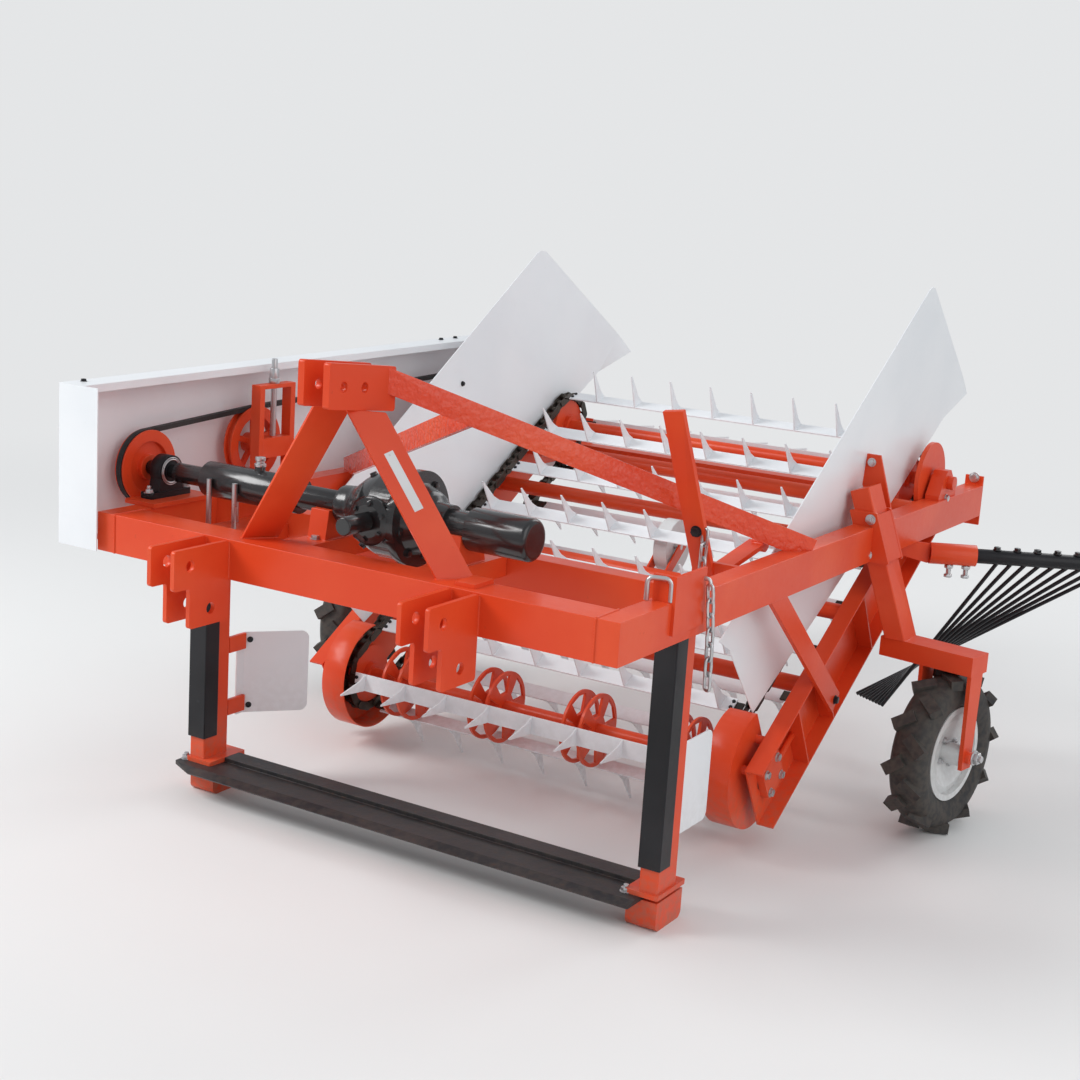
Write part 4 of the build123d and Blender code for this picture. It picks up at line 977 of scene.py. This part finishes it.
@dataclass
class Windrowers:
    """The bright set screws under the sockets of the windrower beams.

    Attributes:
        socket: Length of a socket in metres.
        shares: Where the screws sit, as shares of the socket's length.
        shank: Radius, height, low end, sides and bevel of a screw's shank, in metres.
        lock_nut: The same for its lock nut.
        head: The same for its head.
    """

    socket: float = 0.138
    shares: tuple[float, float] = (0.45, 0.82)
    shank: tuple[float, float, float, int, float] = (0.0075, 0.036, -0.067, 14, 0.0012)
    lock_nut: tuple[float, float, float, int, float] = (0.0135, 0.010, -0.0425, 6, 0.0008)
    head: tuple[float, float, float, int, float] = (0.0125, 0.009, -0.070, 6, 0.0008)

    @staticmethod
    def along(side: int, distance: float) -> Vector:
        """Returns the point of a windrower beam's line at a distance from its socket's inner end.

        Args:
            side: -1 for the left beam, 1 for the right one.
            distance: How far out along the beam, in metres.

        Returns:
            The point.
        """
        angle = math.radians(WINDROWER_ANGLE)
        height = WINDROWER_HEIGHTS[side]
        outward = Vector((side * math.cos(angle), math.sin(angle), 0))
        return place(side * 796, 1852, height) + outward * distance

    def build(self, palette: Palette) -> None:
        """Puts two set screws with lock nuts under each socket.

        Args:
            palette: The palette of finishes.
        """
        for name, side in (("left", -1), ("right", 1)):
            screws = []
            for share in self.shares:
                screw = Workbench.join([Workbench.cylinder(*self.shank), Workbench.cylinder(*self.lock_nut),
                                        Workbench.cylinder(*self.head)], "set_screw")
                screw.matrix_world = Matrix.Translation(self.along(side, self.socket * share))
                screws.append(Workbench.settle(screw))
            piece = Workbench.join(screws, f"set_screws_{name}")
            Workbench.hand_over(piece, palette.of("zinc"), "frame", "zinc", 30)


@dataclass
class Hardware:
    """The bolts and nuts that hold the machine together.

    Attributes:
        housing_x: How far out the gearbox's bolts are sought from, in millimetres.
        housing_ring: Radius of a ring of bolts round the gearbox, in metres.
        hub_ring: Radius of a ring of bolts round a hub, in metres.
    """

    housing_x: float = 420
    housing_ring: float = 0.092
    hub_ring: float = 0.044

    def rows(self) -> list[BoltRow]:
        """Lists every row of fasteners.

        Returns:
            The rows.
        """
        rows = [
            BoltRow("gearbox_bolts_right", "gearbox_housing", 0.010, (-1, 0, 0),
                    circle(place(self.housing_x, *SHAFT), self.housing_ring, 8, "X", 0.2), "black_gloss"),
            BoltRow("gearbox_bolts_left", "gearbox_housing", 0.010, (1, 0, 0),
                    circle(place(-self.housing_x, *SHAFT), self.housing_ring, 8, "X", 0.2), "black_gloss"),
            BoltRow("gearbox_nose_bolts", "gearbox_housing", 0.008, (0, 1, 0),
                    circle(place(0, -200, SHAFT[1]), self.hub_ring, 6, "Y", 0.4), "black_gloss"),
            BoltRow("cradle_bolts", "gearbox_cradles", 0.012, (0, 0, -1),
                    [place(x, behind, 1100) for x in (-200, 194) for behind in (176, 304)], "zinc"),
            BoltRow("pillow_bolts", "pillow_block", 0.012, (0, 0, -1),
                    [place(-755, behind, 1100) for behind in (172, 308)], "zinc", thread_end=0.010),
        ]
        for name, side in (("left", -1), ("right", 1)):
            wheel = middle(f"wheel_rim_{name}")
            outward = Vector((side, 0, 0))
            rows += [
                BoltRow(f"wheel_nuts_{name}", f"wheel_rim_{name}", 0.010, (-side, 0, 0),
                        circle(wheel + outward * 0.3, self.hub_ring, 4, "X", 0.5),
                        "zinc", f"wheel_{name}", 0.006),
                BoltRow(f"axle_nut_{name}", f"gauge_leg_{name}", 0.020, (-side, 0, 0),
                        [wheel + outward * 0.3], "zinc", f"gauge_leg_{name}", 0.010),
                BoltRow(f"blade_nuts_{name}", "blade", 0.014, (0, 0, -1),
                        [place(750 * side if side < 0 else 655, 330, 200)], "zinc", thread_end=0.008),
                BoltRow(f"shield_bolts_{name}", "crop_shields", 0.008, (side, 0, 0),
                        [place(side * 500, 512, height) for height in (214, 406)]),
                BoltRow(f"deflector_bolts_{name}", f"deflector_{name}", 0.008, (side, 0, 0),
                        [place(side * 300, behind, height) for behind, height in DEFLECTOR_BOLTS]),
                BoltRow(f"strut_bolts_{name}", "channel_struts", 0.012, (-side, 0, 0),
                        [place(side * 1100, 1288, 364)]),
                BoltRow(f"rod_clamps_{name}", f"windrower_{name}", 0.012, (0, 0, -1),
                        [Windrowers.along(side, 0.200 + 0.060 * each) + Vector((0, 0, 0.2))
                         for each in range(6)],
                        "black_gloss", f"windrower_{name}"),
                BoltRow(f"sleeve_bolts_{name}", f"post_sleeve_{name}", 0.014, (0, 1, 0),
                        [middle(f"post_sleeve_{name}") + Vector((0, -0.4, height))
                         for height in (-0.05, 0.05)],
                        "zinc", thread_end=0.006),
                BoltRow(f"beam_end_bolts_{name}", f"side_beam_{name}", 0.012, (0, -1, 0),
                        [place(side * x, 2400, height) for x in (728, 762) for height in (768, 812)], "zinc"),
                BoltRow(f"bearing_bolts_{name}", "shaft_bearings", 0.012, (-side, 0, 0),
                        [ElevatorChains().sloped(side * 0.95, along + step * 0.034, above + lift * 0.034)
                         for along, above in ((0, 0), (1.275, 0))
                         for step in (-1, 1) for lift in (-1, 1)], "zinc"),
            ]
        eye = Vector(Studio.eye)
        return rows + [
            BoltRow("lever_bolt", "lift_lever", 0.014, tuple(place(596, 672, 905) - eye), [eye]),
            BoltRow("end_plate_bolt", "side_beam_right", 0.016, (0, 1, 0), [place(735, 2200, 856)], "zinc"),
            BoltRow("stay_bolt", "panel_stays", 0.012, tuple(place(735, 1459, 1010) - eye), [eye], "zinc"),
            BoltRow("guard_bolts", "belt_guard", 0.008, (0, 0, -1),
                    [place(-860, behind, 1500) for behind in (40, 1626, 1708, 2240)]),
        ]

    def build(self, palette: Palette) -> None:
        """Makes every row."""
        for row in self.rows():
            row.build(palette)


@dataclass(frozen=True)
class WeldBead:
    """A fillet weld: a rippled bead laid along a line.

    Attributes:
        line: Corners of the bead's line, in metres.
        radius: Radius of the bead.
    """

    line: Sequence[Vector]
    radius: float = 0.0032

    def model(self) -> Piece:
        """Models the bead as a bar with small regular swellings.

        Returns:
            The bead.
        """
        knots = []
        for start, end in zip(self.line, self.line[1:]):
            steps = max(2, round((end - start).length / 0.0035))
            knots += [start.lerp(end, each / steps) for each in range(steps)]
        knots.append(self.line[-1])
        deselect()
        bpy.ops.curve.primitive_nurbs_path_add()
        piece = bpy.context.object
        piece.data.splines.clear()
        spline = piece.data.splines.new("POLY")
        spline.points.add(len(knots) - 1)
        for each, (knot, spot) in enumerate(zip(spline.points, knots)):
            knot.co = (*spot, 1)
            knot.radius = 1.0 if each % 2 else 0.82
        piece.data.bevel_depth = self.radius
        piece.data.bevel_resolution = 1
        piece.data.use_fill_caps = True
        bpy.ops.object.convert(target="MESH")
        return Workbench.settle(bpy.context.object)


@dataclass
class Welds:
    """The weld beads that show where the frame's members meet, in millimetres.

    Attributes:
        top: Height of the beams' top.
        beam_x: How far out the side beams' inner faces lie.
        hitch_x: How far out the lower hitch plates lie.
    """

    top: float = 832.0
    beam_x: float = 705
    hitch_x: float = 365

    def lines(self) -> list[list[Vector]]:
        """Lists the line of each bead.

        Returns:
            The lines, each a list of corners in metres.
        """
        low = self.top - 100
        found = []
        foot_x, foot_behind = MAST_FOOT[:2]
        turn = math.radians(MAST_TURN)
        for side in (-1, 1):
            beam = side * self.beam_x
            found.append([place(beam, 100, self.top), place(beam, 0, self.top), place(beam, 0, low)])
            found.append([place(beam, 380, self.top - 1), place(beam, 440, self.top - 1)])
            for shift in (-43, -31, 31, 43):
                edge = side * self.hitch_x + shift
                found.append([place(edge, 0, low + 4), place(edge, 0, self.top - 4)])
            corners = [(46, 6), (46, -6), (-46, -6), (-46, 6), (46, 6)]
            found.append([place(side * foot_x + along * math.cos(turn) - across * math.sin(turn),
                                min(98, foot_behind + along * math.sin(turn) + across * math.cos(turn)),
                                self.top)
                          for along, across in corners])
        return found

    def build(self, palette: Palette) -> None:
        """Lays every bead.

        Args:
            palette: The palette of finishes.
        """
        beads = [WeldBead(line).model() for line in self.lines()]
        piece = Workbench.join(beads, "frame_welds")
        Workbench.hand_over(piece, palette.of("red"), "frame", "red_paint", 60)


@dataclass
class Trim:
    """Small bars, chains and the blank label strip.

    Attributes:
        handle: Corners of the bent handle, in millimetres.
        hook: Corners of the chain's hook, in millimetres.
        chains: Name and path of each hanging chain, in millimetres.
        race: Radius and wire radius of each ring of the bearing race, in metres.
        strip_at: Place of the label strip's middle, in millimetres.
        strip_size: Length, width and thickness of the strip, in metres.
        rod_radius: Radius of the belt tensioner's screw, in metres.
    """

    handle: tuple[Point, ...] = ((708, 218, 834), (708, 218, 886), (760, 236, 886), (760, 236, 834))
    hook: tuple[Point, ...] = ((766, 373, 868), (789, 373, 868), (789, 373, 843))
    chains: tuple[tuple[str, tuple[Point, ...]], ...] = (
        ("check_chain", ((789, 373, 852), (789, 392, 742), (789, 400, 586))),
        ("lever_chain", ((621, 672, 912), (621, 668, 800))),
    )
    race: tuple[tuple[float, float], ...] = ((0.0310, 0.0024), (0.0360, 0.0014))
    strip_at: Point = (152, 49, 1040)
    strip_size: Point = (0.150, 0.024, 0.001)
    rod_radius: float = 0.0084

    def build(self, palette: Palette) -> None:
        """Makes every small piece.

        Args:
            palette: The palette of finishes.
        """
        handle = Workbench.bar([place(*spot) for spot in self.handle], 0.006, 0.016)
        Workbench.hand_over(handle, palette.of("zinc"), "frame", "zinc", 50)
        hook = Workbench.bar([place(*spot) for spot in self.hook], 0.005)
        Workbench.hand_over(hook, palette.of("zinc"), "frame", "zinc", 50)
        for name, spots in self.chains:
            LinkChain(name, tuple(place(*spot) for spot in spots)).build(palette)
        breather = Workbench.join([Workbench.cylinder(0.0150, 0.008, 0.9675, 24, 0.0010),
                                   Workbench.cylinder(0.0115, 0.008, 0.9750, 12, 0.0008),
                                   Workbench.cylinder(0.0135, 0.010, 0.9825, 24, 0.0020)], "breather_cap")
        breather.matrix_world = Matrix.Translation(place(-437, SHAFT[0], 0))
        Workbench.hand_over(Workbench.settle(breather), palette.of("zinc"), "frame", "zinc", 30)
        race = Workbench.join(
            [Workbench.ring(radius, wire, 40) for radius, wire in self.race], "bearing_race")
        race.matrix_world = Matrix.Translation(place(-740.2, *SHAFT)) @ Matrix.Rotation(math.pi / 2, 4, "Y")
        Workbench.hand_over(Workbench.settle(race), palette.of("zinc"), "frame", "zinc", 60)
        self.screw(palette)
        self.strip(palette)

    def screw(self, palette: Palette) -> None:
        """Gives the belt tensioner a bright screw with two nuts.

        Args:
            palette: The palette of finishes.
        """
        low, high = 1.112, 1.182
        rod = Workbench.cylinder(self.rod_radius, high - low, low, 16, 0.0012)
        nuts = [Workbench.cylinder(0.0158, 0.014, low + 0.001, 6, 0.0008),
                Workbench.cylinder(0.0135, 0.043, low, 20, 0.001)]
        inner = Workbench.cylinder(self.rod_radius, 0.136, 0.962, 16)
        piece = Workbench.join([rod, inner, *nuts], "tensioner_rod")
        piece.matrix_world = Matrix.Translation(place(-760, 668, 0))
        Workbench.settle(piece)
        Workbench.hand_over(piece, palette.of("zinc"), "frame", "zinc", 30)

    def strip(self, palette: Palette) -> None:
        """Sticks a blank bright strip on the right mast leg.

        Args:
            palette: The palette of finishes.
        """
        eye = Vector(Studio.eye)
        seat = meet("mast_legs", eye, place(*self.strip_at) - eye)
        if seat is None:
            return
        spot, out = seat
        along = place(*MAST_HEAD) - place(*MAST_FOOT)
        size = Matrix.Diagonal((*self.strip_size, 1))
        deselect()
        bpy.ops.mesh.primitive_cube_add(size=1)
        piece = bpy.context.object
        piece.name = "leg_strip"
        piece.matrix_world = Matrix.Translation(spot) @ Workbench.aim(out, along) @ size
        Workbench.settle(piece)
        Workbench.hand_over(piece, palette.of("rim"), "frame", "rim_paint")


@dataclass
class Studio:
    """Pale floor, soft lamps and the camera at the photograph's viewpoint.

    Attributes:
        eye: Camera position in metres.
        azimuth: Heading from +Y towards -X, in radians.
        elevation: Angle that the camera looks down, in radians.
        roll: Turn about the view axis, in radians.
        lens: Focal length on a 36 mm sensor, in millimetres.
    """

    eye: Point = (2.4717, -4.3381, 1.7717)
    azimuth: float = 0.54418
    elevation: float = 0.21142
    roll: float = -0.063337
    lens: float = 58.715

    def build(self) -> None:
        """Makes the floor, the lamps, the world and the camera."""
        self.floor()
        self.lamps()
        self.camera()

    def floor(self) -> None:
        """Lays a wide pale floor under the machine."""
        deselect()
        bpy.ops.mesh.primitive_plane_add(size=60, location=(0, 0, 0))
        floor = bpy.context.object
        floor.name = "studio_floor"
        material = bpy.data.materials.new("studio_floor")
        material.use_nodes = True
        shader = material.node_tree.nodes["Principled BSDF"]
        shader.inputs["Base Color"].default_value = (0.80, 0.80, 0.79, 1)
        shader.inputs["Roughness"].default_value = 0.9
        self.fade(material.node_tree, shader)
        floor.data.materials.append(material)

    @staticmethod
    def fade(tree: Tree, shader: bpy.types.Node) -> None:
        """Lets the floor run out into the pale backdrop away from the machine.

        Args:
            tree: The node tree of the floor's material.
            shader: The floor's own shader.
        """
        coords = tree.nodes.new("ShaderNodeTexCoord")
        reach = tree.nodes.new("ShaderNodeVectorMath")
        reach.operation = "LENGTH"
        tree.links.new(coords.outputs["Object"], reach.inputs[0])
        far = Finish.ramp(tree, reach.outputs["Value"], 2.2, 6.5)
        seen = tree.nodes.new("ShaderNodeLightPath")
        share = Finish.product(tree, far, seen.outputs["Is Camera Ray"])
        pale = tree.nodes.new("ShaderNodeEmission")
        pale.inputs["Color"].default_value = BACKDROP
        blend = tree.nodes.new("ShaderNodeMixShader")
        tree.links.new(share, blend.inputs[0])
        tree.links.new(shader.outputs[0], blend.inputs[1])
        tree.links.new(pale.outputs[0], blend.inputs[2])
        tree.links.new(blend.outputs[0], tree.nodes["Material Output"].inputs[0])

    def lamps(self) -> None:
        """Sets one large key lamp, a fill and the world."""
        for name, size, power, spot, aim in (
            ("key", 3.2, 330, (-4.6, -4.2, 5.2), (0, 0, 0.5)),
            ("fill", 5.0, 95, (5.5, -2.0, 3.5), (0, 0, 0.5)),
            ("rear", 4.0, 110, (1.5, 5.5, 4.5), (0, 0, 0.7)),
        ):
            lamp = bpy.data.lights.new(name, "AREA")
            lamp.shape = "SQUARE"
            lamp.size = size
            lamp.energy = power
            holder = bpy.data.objects.new(name, lamp)
            bpy.context.scene.collection.objects.link(holder)
            holder.location = spot
            holder.rotation_euler = (Vector(aim) - Vector(spot)).to_track_quat("-Z", "Y").to_euler()
        world = bpy.data.worlds.new("studio")
        bpy.context.scene.world = world
        world.use_nodes = True
        tree = world.node_tree
        light = tree.nodes["Background"]
        light.inputs["Color"].default_value = (0.86, 0.89, 0.93, 1)
        light.inputs["Strength"].default_value = 0.62
        backdrop = tree.nodes.new("ShaderNodeBackground")
        backdrop.inputs["Color"].default_value = BACKDROP
        seen = tree.nodes.new("ShaderNodeLightPath")
        blend = tree.nodes.new("ShaderNodeMixShader")
        tree.links.new(seen.outputs["Is Camera Ray"], blend.inputs[0])
        tree.links.new(light.outputs[0], blend.inputs[1])
        tree.links.new(backdrop.outputs[0], blend.inputs[2])
        tree.links.new(blend.outputs[0], tree.nodes["World Output"].inputs[0])

    def camera(self) -> None:
        """Puts the camera where the photograph was taken."""
        ahead = Vector((-math.sin(self.azimuth) * math.cos(self.elevation),
                        math.cos(self.azimuth) * math.cos(self.elevation), -math.sin(self.elevation)))
        level = Vector((math.cos(self.azimuth), math.sin(self.azimuth), 0))
        down = ahead.cross(level)
        right = level * math.cos(self.roll) + down * math.sin(self.roll)
        below = down * math.cos(self.roll) - level * math.sin(self.roll)
        turn = Matrix((right, -below, -ahead)).transposed()
        lens = bpy.data.cameras.new("viewpoint")
        lens.sensor_width = 36
        lens.lens = self.lens
        lens.clip_end = 200
        holder = bpy.data.objects.new("viewpoint", lens)
        bpy.context.scene.collection.objects.link(holder)
        holder.matrix_world = Matrix.Translation(self.eye) @ turn.to_4x4()
        bpy.context.scene.camera = holder


# Nodes whose edges stay as they are: fine, round or flexible ones
SHARP_NODES = ("drive_belt", "elevator_chain_left", "elevator_chain_right", "elevator_teeth",
               "wheel_rim_left", "wheel_rim_right", "guide_roller", "axle_studs", "lower_shaft",
               "upper_shaft")


def round_edges(node: Piece, width: float, segments: int = 2) -> None:
    """Softens the sharp edges of a CAD node with modifiers.

    Args:
        node: The node.
        width: Width of the bevel in metres.
        segments: Segments of the bevel.
    """
    weld = node.modifiers.new("weld", "WELD")
    weld.merge_threshold = 0.00002
    bevel = node.modifiers.new("edges", "BEVEL")
    bevel.width = width
    bevel.segments = segments
    bevel.limit_method = "ANGLE"
    bevel.angle_limit = math.radians(40)
    bevel.use_clamp_overlap = True
    bevel.harden_normals = True


def dress_nodes(palette: Palette) -> None:
    """Gives every CAD node the finish of its slot, and softer edges.

    Args:
        palette: The finishes.
    """
    slots = {each["node"]: each["material_slot"] for each in frame["record"]["subparts"]}
    for name, node in frame["nodes"].items():
        finish = palette.of("hammered" if name == "mast_braces" else SLOT_FINISH[slots[name]])
        node.data.materials.clear()
        node.data.materials.append(finish)
        if name not in SHARP_NODES:
            round_edges(node, 0.003 if name.startswith("wheel_tyre") else 0.0014)
        log.info("%s has the finish %s", name, finish.name)


def main() -> None:
    """Builds the scene's pieces in order."""
    logging.basicConfig(level=logging.INFO, format="%(message)s")
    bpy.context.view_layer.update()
    scene = bpy.context.scene
    scene.view_settings.view_transform = "Standard"
    palette = Palette()
    Studio().build()
    dress_nodes(palette)
    ElevatorChains().build(palette)
    Hardware().build(palette)
    Windrowers().build(palette)
    Trim().build(palette)
    Welds().build(palette)


if __name__ == "__main__":
    main()
